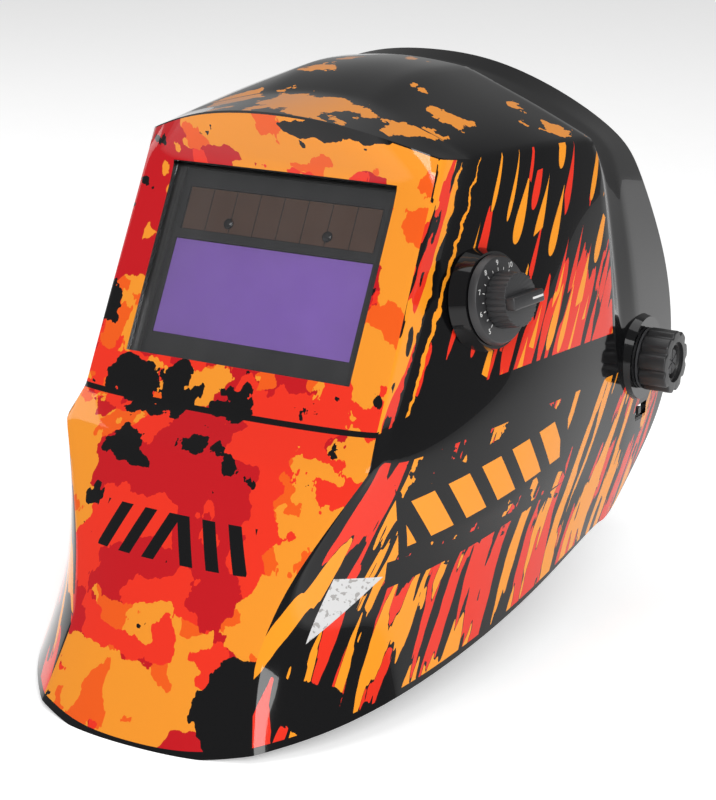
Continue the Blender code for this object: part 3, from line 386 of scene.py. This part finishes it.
belly = calc(drops, "SQRT", calc(drops, "SUBTRACT", 1.0, calc(drops, "MULTIPLY", rise, rise),
                                 clamp=True))
taper = calc(drops, "MULTIPLY_ADD", rise, -0.5, 0.5, clamp=True)
girth = calc(drops, "MULTIPLY_ADD", chance.outputs[2], 0.28, 0.14)
reach = calc(drops, "MULTIPLY", calc(drops, "MULTIPLY", belly, taper), girth)
inside = calc(drops, "LESS_THAN", calc(drops, "ABSOLUTE", offset.outputs[0]), reach)
there = calc(drops, "LESS_THAN", chance.outputs[0], take["Share"])
drops.links.new(calc(drops, "MULTIPLY", inside, there), give.inputs["Mask"])
drops.links.new(chance.outputs[1], give.inputs["Chance"])

# Orange peel, as every sprayed or moulded gloss surface has, and a little dust in the gloss.
peel, take, give = group("gloss_coat", (("Vector", "Vector"), ("Sheen", "Float")),
                         (("Height", "Float"), ("Roughness", "Float")))
ripple = put(peel, "TexNoise", {"Vector": take["Vector"], "Scale": 0.35, "Detail": 2.0})
haze = put(peel, "TexNoise", {"Vector": take["Vector"], "Scale": 0.03, "Detail": 4.0})
peel.links.new(ripple.outputs["Fac"], give.inputs["Height"])
peel.links.new(calc(peel, "MULTIPLY_ADD", haze.outputs["Fac"], 0.08, take["Sheen"]),
               give.inputs["Roughness"])

def shading(material):
    """The material's nodes: (tree, shader, the surface's own place in millimetres)."""
    material.use_nodes = True
    nodes = material.node_tree
    here = vector(nodes, "SCALE", put(nodes, "TexCoord").outputs["Object"], scale=1000.0)
    return nodes, nodes.nodes["Principled BSDF"], here


tree, shader, place = shading(shell.data.materials[0])
panel = put(tree, "SeparateXYZ", {0: put(tree, "UVMap", uv_map="panels").outputs[0]})
across, rows = panel.outputs[0], panel.outputs[1]
xyz = put(tree, "SeparateXYZ", {0: place})
x, y, z = xyz.outputs


def drawn(spots, start):
    """Adds up spots of (centre, reach, strength)."""
    total = start
    for centre, reach, strength in spots:
        total = use(tree, spot, {"Vector": place, "Centre": centre, "Reach": reach,
                                 "Strength": strength, "Sum": total})["Sum"]
    return total


def patch(size, pull, seed):
    return use(tree, torn, {"Vector": place, "Size": size, "Pull": pull, "Seed": seed})["Mask"]


def flame(width, length, pull, seed):
    return use(tree, flames, {"Vector": place, "Width": width, "Length": length, "Pull": pull,
                              "Seed": seed})


# Face, window frame and chin.
warmth = drawn([((46, -100, 110), (40, 60, 60), 0.16), ((-70, -60, 180), (40, 60, 60), -0.12),
                ((-4, -125, 75), (44, 50, 34), -0.1)], -0.01)
face = over(tree, patch(30, warmth, (3, 1, 7)), CRIMSON, VERMILION)
ochre_pull = drawn([
    ((20, -57, 229), (75, 40, 20), 0.6), ((67, -50, 210), (26, 44, 46), 0.5),
    ((69, -80, 158), (22, 30, 36), 0.2), ((-92, -45, 196), (34, 80, 70), -0.6),
    ((0, -94, 124), (60, 20, 14), 0.02), ((0, -125, 82), (58, 60, 42), -0.3),
    ((58, -124, 72), (26, 40, 30), 0.36), ((52, -143, 46), (26, 30, 26), 0.3),
    ((-15, -162, 13), (52, 30, 22), 0.3), ((-60, -117, 90), (20, 40, 34), 0.3)], -0.05)
face = over(tree, patch(22, ochre_pull, (0, 4, 2)), face,
            over(tree, patch(26, 0.06, (9, 2, 4)), EMBER, OCHRE))
pitch_pull = drawn([
    ((34, -57, 231), (48, 30, 7), 0.32), ((-69, -80, 150), (16, 30, 26), 0.27),
    ((-34, -94, 124), (40, 20, 13), 0.34), ((30, -92, 122), (40, 20, 10), 0.16),
    ((-20, -113, 103), (40, 20, 10), 0.22), ((50, -152, 16), (36, 34, 26), 0.55),
    ((-48, -127, 80), (10, 20, 14), 0.14), ((72, -86, 136), (14, 20, 20), 0.08),
    ((0, -128, 70), (46, 40, 34), -0.12)], -0.19)
face = over(tree, patch(15, pitch_pull, (5, 5, 1)), face, PITCH)

# Strip beside the window frame, between its two creases.
strip = over(tree, flame(9, 50, 0.03, (2, 6, 3))["Mask"], AMBER, VERMILION)
strip = over(tree, flame(5, 22, -0.06, (1, 2, 9))["Mask"], strip, PITCH)
torn_rim = put(tree, "TexNoise", {"Vector": place, "Scale": 0.12, "Detail": 3.0}).outputs["Fac"]
strip_rear = calc(tree, "MULTIPLY_ADD", torn_rim, 0.5, 2.55)
strip = over(tree, calc(tree, "GREATER_THAN", across, strip_rear), strip, PITCH)

# Upper side: a ribbon that runs down behind the strip, drops, and flames above the band.
ribbon_middle = calc(tree, "MULTIPLY_ADD", torn_rim, 0.3, 3.05)
ribbon_half = calc(tree, "MULTIPLY_ADD", calc(tree, "ABSOLUTE", calc(
    tree, "SUBTRACT", z, 160.0)), -0.0008, 0.055)
ribbon = calc(tree, "LESS_THAN", calc(tree, "ABSOLUTE", calc(
    tree, "SUBTRACT", across, ribbon_middle)), ribbon_half)
share = drawn([((100, 22, 172), (300, 90, 66), 1.1)], -0.05)
drop = use(tree, drops, {"Vector": place, "Width": 8.0, "Length": 36.0, "Share": share})
upper = over(tree, drop["Mask"], PITCH, over(tree, calc(
    tree, "GREATER_THAN", drop["Chance"], 0.5), VERMILION, AMBER))
risen = flame(5, 55, drawn([((105, 20, 140), (300, 85, 36), 0.24)], -0.16), (4, 0, 5))
upper = over(tree, risen["Mask"], upper, over(tree, drop["Mask"], VERMILION, AMBER))
upper = over(tree, ribbon, upper, AMBER)

# Lower side: close flames, vermilion under amber, each with its black outline.
low_pull = drawn([((100, -20, 40), (300, 130, 50), 0.05)], -0.065)
red = flame(6, 60, low_pull, (7, 3, 1))
gold = flame(5, 55, calc(tree, "SUBTRACT", low_pull, 0.02), (2, 9, 6))
lower = over(tree, red["Mask"], PITCH, VERMILION)
lower = over(tree, gold["Outline"], over(tree, gold["Mask"], lower, AMBER), PITCH)

lower = over(tree, patch(18, drawn([((64, -142, 16), (36, 44, 28), 0.6)], -0.5), (2, 2, 8)), lower,
             PITCH)

# Crown: ochre patches towards the brow over black.
top = patch(26, drawn([((0, -35, 238), (70, 34, 30), 0.22), ((60, -10, 236), (30, 30, 30), 0.12)],
                      -0.14), (6, 8, 2))
top = over(tree, top, PITCH, OCHRE)

side_up = calc(tree, "MULTIPLY", calc(tree, "GREATER_THAN", across, 3.0), between(
    tree, rows, 5.0, 8.0))
on_strip = calc(tree, "MULTIPLY", between(tree, across, 2.0, 3.0), between(tree, rows, 5.0, 8.0))
side_low = calc(tree, "MULTIPLY", calc(tree, "GREATER_THAN", across, 2.0), calc(
    tree, "LESS_THAN", rows, 4.0))
rear_low = calc(tree, "GREATER_THAN", rows, 27.0)
band = calc(tree, "MULTIPLY", calc(tree, "GREATER_THAN", across, 2.0), between(
    tree, rows, 4.0, 5.0))
on_crown = between(tree, rows, 8.02, 15.0)
colour = over(tree, on_strip, face, strip)
colour = over(tree, side_up, colour, upper)
colour = over(tree, calc(tree, "MAXIMUM", side_low, rear_low), colour, lower)
colour = over(tree, on_crown, colour, top)

# Plain slanted bars on the cheek and the chin. Under the cheek's bars, a black wedge of painted
# shade fills the scoop below its ridge, and a pale streaked wedge at its front end is a painted
# highlight on the scoop's facet.
def corner_mask(corners):
    """1 inside a triangle of (back, up) corners on the left side, given anticlockwise."""
    inside = calc(tree, "GREATER_THAN", x, 50.0)
    for (ay, az), (by, bz) in zip(corners, corners[1:] + corners[:1]):
        run = calc(tree, "MULTIPLY", calc(tree, "SUBTRACT", z, az), by - ay)
        turn = calc(tree, "MULTIPLY_ADD", calc(tree, "SUBTRACT", y, ay), az - bz, run)
        inside = calc(tree, "MULTIPLY", inside, calc(tree, "GREATER_THAN", turn, 0.0))
    return inside


slant = calc(tree, "FRACT", calc(tree, "MULTIPLY", calc(tree, "MULTIPLY_ADD", z, 0.5, y), 0.05))
bars = calc(tree, "MULTIPLY", calc(tree, "GREATER_THAN", x, 50.0), calc(
    tree, "MULTIPLY", between(tree, y, -88.0, 6.0), calc(tree, "LESS_THAN", slant, 0.62)))
rise = calc(tree, "MULTIPLY_ADD", y, -0.14, z)
bars = calc(tree, "MULTIPLY", bars, between(tree, rise, 84.0, 102.0))
frayed = calc(tree, "MULTIPLY_ADD", calc(tree, "SUBTRACT", torn_rim, 0.5), 60.0, rise)
ground = calc(tree, "MULTIPLY", calc(tree, "MULTIPLY", calc(
    tree, "GREATER_THAN", x, 50.0), between(tree, y, -92.0, 12.0)), calc(
        tree, "MAXIMUM", between(tree, frayed, 76.0, 112.0), between(tree, rise, 82.5, 103.5)))
colour = over(tree, calc(tree, "MULTIPLY", ground, side_low), colour, PITCH)
colour = over(tree, calc(tree, "MULTIPLY", bars, side_low), colour, AMBER)
lean = calc(tree, "MULTIPLY_ADD", z, 0.45, calc(tree, "ABSOLUTE", calc(tree, "ADD", x, 2.0)))
chevrons = calc(tree, "LESS_THAN", calc(tree, "FRACT", calc(tree, "MULTIPLY", lean, 0.083)), 0.5)
chevrons = calc(tree, "MULTIPLY", chevrons, calc(tree, "MULTIPLY", between(
    tree, x, -38.0, 34.0), calc(tree, "MULTIPLY", between(tree, z, 66.0, 83.0), calc(
        tree, "LESS_THAN", y, -90.0))))
colour = over(tree, chevrons, colour, PITCH)
# Painted shade: black in the scoop under the cheek's ridge, where the overhang shades the groove.
colour = over(tree, corner_mask([(-99, 56), (12, 72), (-97, 67)]), colour, PITCH)
# Painted highlight: a pale streaked wedge where the facet at the scoop's front end catches the
# light.
highlight_streaks = put(tree, "TexNoise", {"Vector": vector(tree, "MULTIPLY", place, (0.4, 2.2, 2.2)),
                                 "Scale": 0.22, "Detail": 3.0}).outputs["Fac"]
painted_highlight = over(tree, calc(tree, "GREATER_THAN", highlight_streaks, 0.58), (0.62, 0.62, 0.62),
             (0.36, 0.35, 0.34))
colour = over(tree, corner_mask([(-131, 41), (-99, 61.5), (-118, 65)]), colour, painted_highlight)

# Bare black: the side band, the groove, the rear band, the rim's bead and the panel gaps.
rear = between(tree, rows, 19.0, 27.0)
bead = calc(tree, "LESS_THAN", rows, 0.09)
rear_edge = calc(tree, "MULTIPLY", calc(tree, "GREATER_THAN", rows, 19.0), calc(
    tree, "GREATER_THAN", across, 2.88))
seam_line = calc(tree, "MULTIPLY", calc(tree, "LESS_THAN", across, 2.1), between(
    tree, rows, 4.93, 5.03))
brow_line = calc(tree, "MULTIPLY", calc(tree, "LESS_THAN", across, 3.0), between(
    tree, rows, 7.96, 8.02))
crown_line = calc(tree, "MULTIPLY", calc(tree, "LESS_THAN", across, 3.0), between(
    tree, rows, 8.97, 9.02))
bare = band
for mask in (rear, bead, rear_edge, seam_line, brow_line, crown_line):
    bare = calc(tree, "MAXIMUM", bare, mask)
colour = over(tree, bare, colour, PITCH)
tree.links.new(colour, shader.inputs["Base Color"])
coat = use(tree, peel, {"Vector": place, "Sheen": 0.06})
bump = put(tree, "Bump", {"Strength": 0.05, "Distance": 0.0002, "Height": coat["Height"]})
tree.links.new(coat["Roughness"], shader.inputs["Roughness"])
tree.links.new(bump.outputs[0], shader.inputs["Normal"])
shader.inputs["Specular IOR Level"].default_value = 0.1
shader.inputs["Coat Weight"].default_value = 0.7
shader.inputs["Coat IOR"].default_value = 1.4
shader.inputs["Coat Roughness"].default_value = 0.02

# Everything moulded or pressed shares one worn surface: grain, a little colour drift and dust.
worn, take, give = group("worn_surface", (("Vector", "Vector"), ("Grain", "Float"),
                         ("Sheen", "Float")), (("Height", "Float"), ("Shade", "Float"),
                                               ("Roughness", "Float")))
fine = put(worn, "TexNoise", {"Vector": take["Vector"], "Scale": take["Grain"], "Detail": 3.0})
broad = put(worn, "TexNoise", {"Vector": take["Vector"], "Scale": 0.06, "Detail": 4.0})
pits = put(worn, "TexVoronoi", {"Vector": take["Vector"], "Scale": calc(
    worn, "MULTIPLY", take["Grain"], 1.7)})
worn.links.new(calc(worn, "MULTIPLY_ADD", pits.outputs["Distance"], 0.6, fine.outputs["Fac"]),
               give.inputs["Height"])
worn.links.new(calc(worn, "MULTIPLY_ADD", broad.outputs["Fac"], 0.7, calc(
    worn, "MULTIPLY", fine.outputs["Fac"], 0.3)), give.inputs["Shade"])
worn.links.new(calc(worn, "MULTIPLY_ADD", calc(worn, "SUBTRACT", broad.outputs["Fac"], 0.5), 0.25,
                    take["Sheen"]), give.inputs["Roughness"])


def surface(name, dark, light, sheen, grain, bump, metallic=0.0, stretch=(1, 1, 1), made=None):
    """A material on the worn surface: between two colours, with grain per millimetre."""
    made = made or bpy.data.materials.new(name)
    tree, shader, place = shading(made)
    wear = use(tree, worn, {"Vector": vector(tree, "MULTIPLY", place, stretch), "Grain": grain,
                            "Sheen": sheen})
    tree.links.new(over(tree, wear["Shade"], dark, light), shader.inputs["Base Color"])
    tree.links.new(wear["Roughness"], shader.inputs["Roughness"])
    raised = put(tree, "Bump", {"Strength": bump, "Distance": 0.0001, "Height": wear["Height"]})
    tree.links.new(raised.outputs[0], shader.inputs["Normal"])
    shader.inputs["Metallic"].default_value = metallic
    return made


surface("bare_nylon", (0.006, 0.006, 0.0065), (0.016, 0.016, 0.017), 0.42, 1.6, 0.5,
        made=shell.data.materials[1])


def finish(material, *names):
    """Gives CAD pieces that keep their shape their finish."""
    for name in names:
        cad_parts[name].data.materials.clear()
        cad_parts[name].data.materials.append(material)


def coat_with(obj, material, body, slot, *nodes):
    """Shades a new piece, sets it on its body and hides the CAD nodes that it stands for."""
    obj.data.materials.clear()
    obj.data.materials.append(material)
    solo(obj)
    bpy.ops.object.shade_smooth_by_angle(angle=math.radians(35))
    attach(obj, body)
    if nodes:
        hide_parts(*nodes)
    return obj


# Lens cartridge: a clear polycarbonate cover over a rubber gasket, then the black two-part case
# with the solar strip, two light sensors and the violet filter, and a clear sheet at the back.
clear = bpy.data.materials.new("clear_polycarbonate")
tree, shader, place = shading(clear)
smear = put(tree, "TexNoise", {"Vector": vector(tree, "MULTIPLY", place, (1, 0.3, 0.3)),
                               "Scale": 0.08, "Detail": 5.0}).outputs["Fac"]
glance = put(tree, "Fresnel", {"IOR": 1.5}).outputs[0]
tree.links.new(calc(tree, "MULTIPLY_ADD", smear, 0.035, calc(
    tree, "MULTIPLY", glance, 0.8), clamp=True), shader.inputs["Alpha"])
tree.links.new(calc(tree, "MULTIPLY_ADD", smear, 0.06, 0.0), shader.inputs["Roughness"])
tree.links.new(over(tree, smear, (0.86, 0.88, 0.9), (0.95, 0.95, 0.95)),
               shader.inputs["Base Color"])
shader.inputs["Metallic"].default_value = 1.0
finish(clear, "outer_cover_lens", "inner_cover_lens")
finish(surface("case_plastic", (0.010, 0.010, 0.011), (0.024, 0.024, 0.026), 0.38, 2.2, 0.45),
       "cartridge_front", "cartridge_back", "battery_tray", "bail_lug_left", "bail_lug_right")
finish(surface("gasket_rubber", (0.006, 0.006, 0.006), (0.014, 0.014, 0.014), 0.75, 1.2, 0.5),
       "lens_gasket")
violet = surface("violet_filter", (0.25, 0.115, 0.52), (0.34, 0.17, 0.68), 0.07, 0.05, 0.02)
violet.node_tree.nodes["Principled BSDF"].inputs["Coat Weight"].default_value = 0.5
finish(violet, "filter_glass")
cells = surface("solar_cells", (0.075, 0.036, 0.022), (0.110, 0.056, 0.036), 0.22, 0.12, 0.05)
tree, shader, place = shading(cells)
along = put(tree, "SeparateXYZ", {0: place}).outputs[0]
gap = calc(tree, "LESS_THAN", calc(tree, "FRACT", calc(
    tree, "MULTIPLY_ADD", along, 0.0858, 0.02)), 0.035)
silicon = shader.inputs["Base Color"].links[0].from_socket
tree.links.new(over(tree, gap, silicon, (0.004, 0.003, 0.003)), shader.inputs["Base Color"])
finish(cells, "solar_panel")
finish(surface("sensor_lens", (0.003, 0.003, 0.004), (0.012, 0.010, 0.012), 0.08, 0.3, 0.03),
       "arc_sensor_left", "arc_sensor_right")
board = surface("circuit_board", (0.006, 0.05, 0.018), (0.012, 0.09, 0.035), 0.35, 0.8, 0.2)
finish(board, "circuit_board")
finish(surface("cell_steel", (0.42, 0.42, 0.43), (0.62, 0.62, 0.62), 0.28, 0.9, 0.2, 1.0),
       "battery_cell")

# Lens holder: the frame screwed to four posts inside the shell, its sprung wire bail, and the
# two small knobs and the slide switch on the back of the case.
finish(surface("holder_nylon", (0.010, 0.010, 0.011), (0.022, 0.022, 0.023), 0.48, 1.4, 0.6),
       "lens_holder", "sensitivity_knob", "delay_knob", "mode_switch")


def copied(name, node):
    """A new object with the node's shape, its loose triangles merged."""
    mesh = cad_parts[node].data.copy()
    obj = bpy.data.objects.new(name, mesh)
    bpy.context.scene.collection.objects.link(obj)
    whole = bmesh.new()
    whole.from_mesh(mesh)
    bmesh.ops.remove_doubles(whole, verts=whole.verts, dist=0.00001)
    whole.to_mesh(mesh)
    whole.free()
    return obj


def moulded(node, material, body, slot):
    """The node's own shape as one smooth moulding, with its round runs shaded as curves."""
    return coat_with(copied("moulded_" + node, node), material, body, slot, node)


wire = surface("spring_steel", (0.38, 0.38, 0.39), (0.66, 0.66, 0.67), 0.24, 1.1, 0.15, 1.0,
               (0.3, 2, 2))
finish(wire, "holder_screw_1", "holder_screw_2", "holder_screw_3", "holder_screw_4")
moulded("retaining_bail", wire, "retaining_bail", "steel")

# Shade dial on the left cheek: a satin plate printed with ticks and the shade numbers, and a
# fluted knob with a raised grip and a white pointer. Its switch, cable and spindle are inside.
dial_black = surface("dial_satin", (0.016, 0.016, 0.017), (0.034, 0.034, 0.036), 0.36, 2.6, 0.4)
print_white = surface("print_white", (0.62, 0.62, 0.62), (0.82, 0.82, 0.80), 0.5, 2.0, 0.1)


def fluted(name, radius, bottom, top, place, flutes, depth, top_radius=None):
    """A round grip whose side has grooves, with its edges rounded."""
    bpy.ops.object.select_all(action="DESELECT")
    bpy.ops.mesh.primitive_cone_add(vertices=flutes * 12, radius1=radius, depth=top - bottom,
                                    radius2=top_radius or radius,
                                    location=(0, 0, (top + bottom) / 2))
    for vertex in bpy.context.object.data.vertices:
        turn = math.atan2(vertex.co.y, vertex.co.x)
        share = 1 - depth * max(0.0, math.cos(flutes * turn)) ** 2
        vertex.co.x, vertex.co.y = vertex.co.x * share, vertex.co.y * share
    obj = settle(name)
    modify(obj, "BEVEL", width=0.7 * MM, segments=3, limit_method="ANGLE",
           angle_limit=math.radians(50))
    obj.data.transform(place)
    return obj


PLATE_FACE = 5.9 * MM
TICK_STEP, FIGURE_STEP = 16.875, 33.75  # degrees; both scales start at 225 degrees
plate = drum("dial_plate", 19 * MM, 2.7 * MM, PLATE_FACE, DIAL, 17.6 * MM, sides=96)
carve(plate, drum("plate_bore", 3.4 * MM, 2 * MM, 7 * MM, DIAL, sides=32))
modify(plate, "BEVEL", width=0.4 * MM, segments=3, limit_method="ANGLE",
       angle_limit=math.radians(40))
coat_with(plate, dial_black, "shell", "black_plastic", "shade_dial_plate")
marks = []
for step in range(17):
    turn = DIAL @ Matrix.Rotation(math.radians(225 - step * TICK_STEP), 4, "Z")
    start = (12.3 if step % 2 else 12.0) * MM
    marks.append(block("dial_tick", (start, -0.16 * MM, PLATE_FACE - 0.02 * MM),
                       (13.4 * MM, 0.16 * MM, PLATE_FACE + 0.05 * MM), turn))
for step in range(9):
    turn = math.radians(225 - step * FIGURE_STEP)
    bpy.ops.object.select_all(action="DESELECT")
    bpy.ops.object.text_add()
    figure = bpy.context.object
    figure.data.body = str(step + 5)
    figure.data.size, figure.data.extrude = 3.1 * MM, 0.04 * MM
    figure.data.align_x, figure.data.align_y = "CENTER", "CENTER"
    bpy.ops.object.convert(target="MESH")
    spot_at = Matrix.Translation((15.4 * MM * math.cos(turn), 15.4 * MM * math.sin(turn),
                                  PLATE_FACE + 0.03 * MM))
    marks.append(settle("dial_figure", DIAL @ spot_at))
bpy.ops.object.select_all(action="DESELECT")
for mark in marks:
    mark.select_set(True)
bpy.context.view_layer.objects.active = marks[0]
bpy.ops.object.join()
marks[0].name = "dial_print"
coat_with(marks[0], print_white, "shell", "black_plastic")

knob = fluted("shade_grip", 11.8 * MM, 6.2 * MM, 15.4 * MM, DIAL, 26, 0.045, 11.1 * MM)
grip = block("grip_bar", (-10.3 * MM, -2.7 * MM, 14.6 * MM), (10.9 * MM, 2.7 * MM, 19.6 * MM),
             DIAL)
modify(grip, "BEVEL", width=0.9 * MM, segments=3)
carve(knob, grip, "UNION")
carve(knob, drum("knob_bore", 3.3 * MM, 5 * MM, 15 * MM, DIAL, sides=32))
coat_with(knob, dial_black, "shade_knob", "black_plastic", "shade_knob")
pointer = block("shade_pointer", (2.5 * MM, -0.45 * MM, 19.5 * MM),
                (9.8 * MM, 0.45 * MM, 19.68 * MM), DIAL)
coat_with(pointer, print_white, "shade_knob", "black_plastic")
finish(surface("switch_plastic", (0.014, 0.014, 0.015), (0.03, 0.03, 0.032), 0.4, 2.0, 0.4),
       "shade_pot_body")
finish(wire, "shade_pot_spindle")
moulded("shade_cable", surface("cable_jacket", (0.012, 0.012, 0.013), (0.028, 0.028, 0.030), 0.5,
                               1.3, 0.5), "shell", "gasket_rubber")

# Pivots: on each side a lobed tension knob clamps the shell on a bolt between two washers, and a
# tilt lever under the left one sets how far the mask drops.
knob_black = surface("knob_black", (0.010, 0.010, 0.011), (0.024, 0.024, 0.025), 0.36, 1.8, 0.4)
disc_grey = surface("knob_disc", (0.022, 0.022, 0.024), (0.045, 0.045, 0.048), 0.45, 2.4, 0.4)
for sign, side in ((1, "left"), (-1, "right")):
    axis = side_axis(sign)
    knob = fluted("tension_grip_" + side, 14.3 * MM, 115 * MM, 128 * MM, axis, 9, 0.13)
    carve(knob, drum("face_ring", 9.3 * MM, 126.6 * MM, 129 * MM, axis, sides=64))
    carve(knob, drum("face_recess", 7.2 * MM, 124.9 * MM, 127 * MM, axis, 7.8 * MM, sides=64))
    carve(knob, drum("knob_bore", 4.4 * MM, 114 * MM, 124.95 * MM, axis, sides=32))
    coat_with(knob, knob_black, "tension_knob_" + side, "black_plastic", "tension_knob_" + side)
    cap = drum("knob_cap_" + side, 6.6 * MM, 124.2 * MM, 126.1 * MM, axis, 5.6 * MM)
    for turn in range(3):
        slit = axis @ Matrix.Rotation(turn * math.pi / 3, 4, "Z")
        carve(cap, block("cap_slit", (-7 * MM, -0.35 * MM, 125.6 * MM),
                         (7 * MM, 0.35 * MM, 127 * MM), slit))
    coat_with(cap, disc_grey, "tension_knob_" + side, "black_plastic")
    finish(disc_grey, "outer_washer_" + side, "inner_washer_" + side)
    finish(wire, "pivot_bolt_" + side)
finish(knob_black, "tilt_lever")

# Headgear: bands and plates moulded in tough black polypropylene, matt where they flex.
band_plastic = surface("band_plastic", (0.012, 0.012, 0.013), (0.028, 0.028, 0.030), 0.5, 1.3,
                       0.5)
for node in ("headband_front", "crown_strap_left", "crown_strap_right", "side_plate_left",
             "side_plate_right"):
    moulded(node, band_plastic, "headgear", "black_plastic")
for node in ("back_band_left", "back_band_right"):
    moulded(node, band_plastic, "nape", "black_plastic")

# Ratchet at the nape: a housing that grips the two back bands, and the knob that draws them in.
HEADGEAR = Matrix.Translation((0, PIVOT.y, PIVOT.z)) @ Matrix.Rotation(
    math.radians(-35.191), 4, "X")
NAPE = HEADGEAR @ Matrix.Translation((0, 100 * MM, -32 * MM)) @ Matrix.Rotation(
    -math.pi / 2, 4, "X")
knob = fluted("ratchet_grip", 19.9 * MM, 4.8 * MM, 16.5 * MM, NAPE, 12, 0.09, 19.2 * MM)
carve(knob, drum("ratchet_dish", 14.5 * MM, 14.6 * MM, 18 * MM, NAPE, 15.5 * MM, sides=72))
carve(knob, drum("ratchet_hub", 6 * MM, 13 * MM, 15.8 * MM, NAPE, 5.2 * MM, sides=48), "UNION")
coat_with(knob, knob_black, "ratchet_knob", "black_plastic", "ratchet_knob")
finish(knob_black, "ratchet_housing", "ratchet_pinion")

# Sweatband and nape pad: soft foam in a knitted cover, swollen by cloth simulation so that
# the edges round over and the faces crown.
knit, take, give = group("knitted_cover", (("Vector", "Vector"), ("Pitch", "Float")),
                         (("Height", "Float"), ("Shade", "Float")))
wales = calc(knit, "SINE", calc(knit, "MULTIPLY", put(
    knit, "SeparateXYZ", {0: take["Vector"]}).outputs[0], take["Pitch"]))
courses = calc(knit, "SINE", calc(knit, "MULTIPLY", put(
    knit, "SeparateXYZ", {0: take["Vector"]}).outputs[2], calc(
        knit, "MULTIPLY", take["Pitch"], 1.2)))
fluff = put(knit, "TexNoise", {"Vector": take["Vector"], "Scale": 1.1, "Detail": 5.0})
loops = calc(knit, "MULTIPLY_ADD", calc(knit, "MULTIPLY", wales, courses), 0.35,
             fluff.outputs["Fac"])
knit.links.new(loops, give.inputs["Height"])
# Painted shade: the colour follows the knit's height, darker in the valleys between the loops and
# lighter on their tops.
knit.links.new(calc(knit, "MULTIPLY_ADD", loops, 0.6, 0.2), give.inputs["Shade"])


def cloth_of(name, dark, light, pitch):
    made = bpy.data.materials.new(name)
    tree, shader, place = shading(made)
    cover = use(tree, knit, {"Vector": place, "Pitch": pitch})
    tree.links.new(over(tree, cover["Shade"], dark, light), shader.inputs["Base Color"])
    raised = put(tree, "Bump", {"Strength": 0.7, "Distance": 0.0003, "Height": cover["Height"]})
    tree.links.new(raised.outputs[0], shader.inputs["Normal"])
    shader.inputs["Roughness"].default_value = 0.9
    shader.inputs["Sheen Weight"].default_value = 0.35
    return made


def stuffed(name, node, body, slot, material, voxel, most):
    """Copies a pad's solid, rounds it, swells it as cloth and keeps it near its space."""
    obj = copied(name, node)
    modify(obj, "REMESH", mode="VOXEL", voxel_size=voxel)
    modify(obj, "SMOOTH", factor=0.5, iterations=14)
    start = [vertex.co.copy() for vertex in obj.data.vertices]
    solo(obj)
    swell = obj.modifiers.new("swell", "CLOTH")
    swell.settings.use_pressure = True
    swell.settings.uniform_pressure_force = 4
    swell.settings.effector_weights.gravity = 0
    for number in range(1, 21):
        bpy.context.scene.frame_set(number)
    bpy.ops.object.modifier_apply(modifier="swell")
    bpy.context.scene.frame_set(1)
    for vertex, place in zip(obj.data.vertices, start):
        moved = vertex.co - place
        if moved.length > most:
            vertex.co = place + moved.normalized() * most
    modify(obj, "SUBSURF", levels=1, render_levels=1)
    coat_with(obj, material, body, slot, node)
    return obj


stuffed("brow_sweatband", "sweatband", "headgear", "sweatband_fabric",
        cloth_of("sweatband_knit", (0.010, 0.010, 0.011), (0.040, 0.040, 0.043), 4.2),
        1.5 * MM, 0.9 * MM)
stuffed("nape_cushion", "nape_pad", "nape", "pad_fabric",
        cloth_of("nape_knit", (0.012, 0.012, 0.013), (0.050, 0.050, 0.054), 3.4),
        1.5 * MM, 0.9 * MM)

# Studio: a pale floor, a soft room light, three large softboxes and a smaller one for the lip.
bpy.ops.object.select_all(action="DESELECT")
bpy.ops.mesh.primitive_plane_add(size=12)
floor = settle("studio_floor")
paper = surface("studio_paper", (0.88, 0.88, 0.88), (0.93, 0.93, 0.93), 0.8, 0.02, 0.0)
shader = paper.node_tree.nodes["Principled BSDF"]
shader.inputs["Emission Color"].default_value = (1, 1, 1, 1)
shader.inputs["Emission Strength"].default_value = 0.38
shader.inputs["Specular IOR Level"].default_value = 0.1
floor.data.materials.append(paper)
world = bpy.data.worlds.new("studio")
bpy.context.scene.world = world
world.use_nodes = True
sky = world.node_tree.nodes["Background"]
sky.inputs["Color"].default_value = (1, 1, 1, 1)
sky.inputs["Strength"].default_value = 0.30


def softbox(name, place, target, width, height, power):
    light = bpy.data.lights.new(name, "AREA")
    light.shape = "RECTANGLE"
    light.size, light.size_y, light.energy = width, height, power
    lamp = bpy.data.objects.new(name, light)
    bpy.context.scene.collection.objects.link(lamp)
    lamp.location = place
    lamp.rotation_euler = (Vector(target) - Vector(place)).to_track_quat("-Z", "Y").to_euler()


softbox("key", (1.0, -1.2, 1.6), (0, 0, 0.1), 1.1, 1.1, 15)
softbox("top", (-0.2, 0.3, 1.8), (0, 0, 0.1), 1.6, 1.2, 11)
softbox("left", (-1.6, -0.3, 0.9), (0, 0, 0.1), 0.8, 1.2, 7)
softbox("glint", (0.78, -0.96, 0.62), (0.05, -0.15, 0.03), 0.36, 0.5, 5)

camera = bpy.data.objects.new("camera", bpy.data.cameras.new("camera"))
bpy.context.scene.collection.objects.link(camera)
camera.data.lens = 95
camera.location = (0.44737, -0.78583, 0.38951)
look = Vector((0, 0.01661, 0.091)) - camera.location
camera.rotation_euler = look.to_track_quat("-Z", "Y").to_euler()
bpy.context.scene.camera = camera
bpy.context.scene.view_settings.view_transform = "Standard"
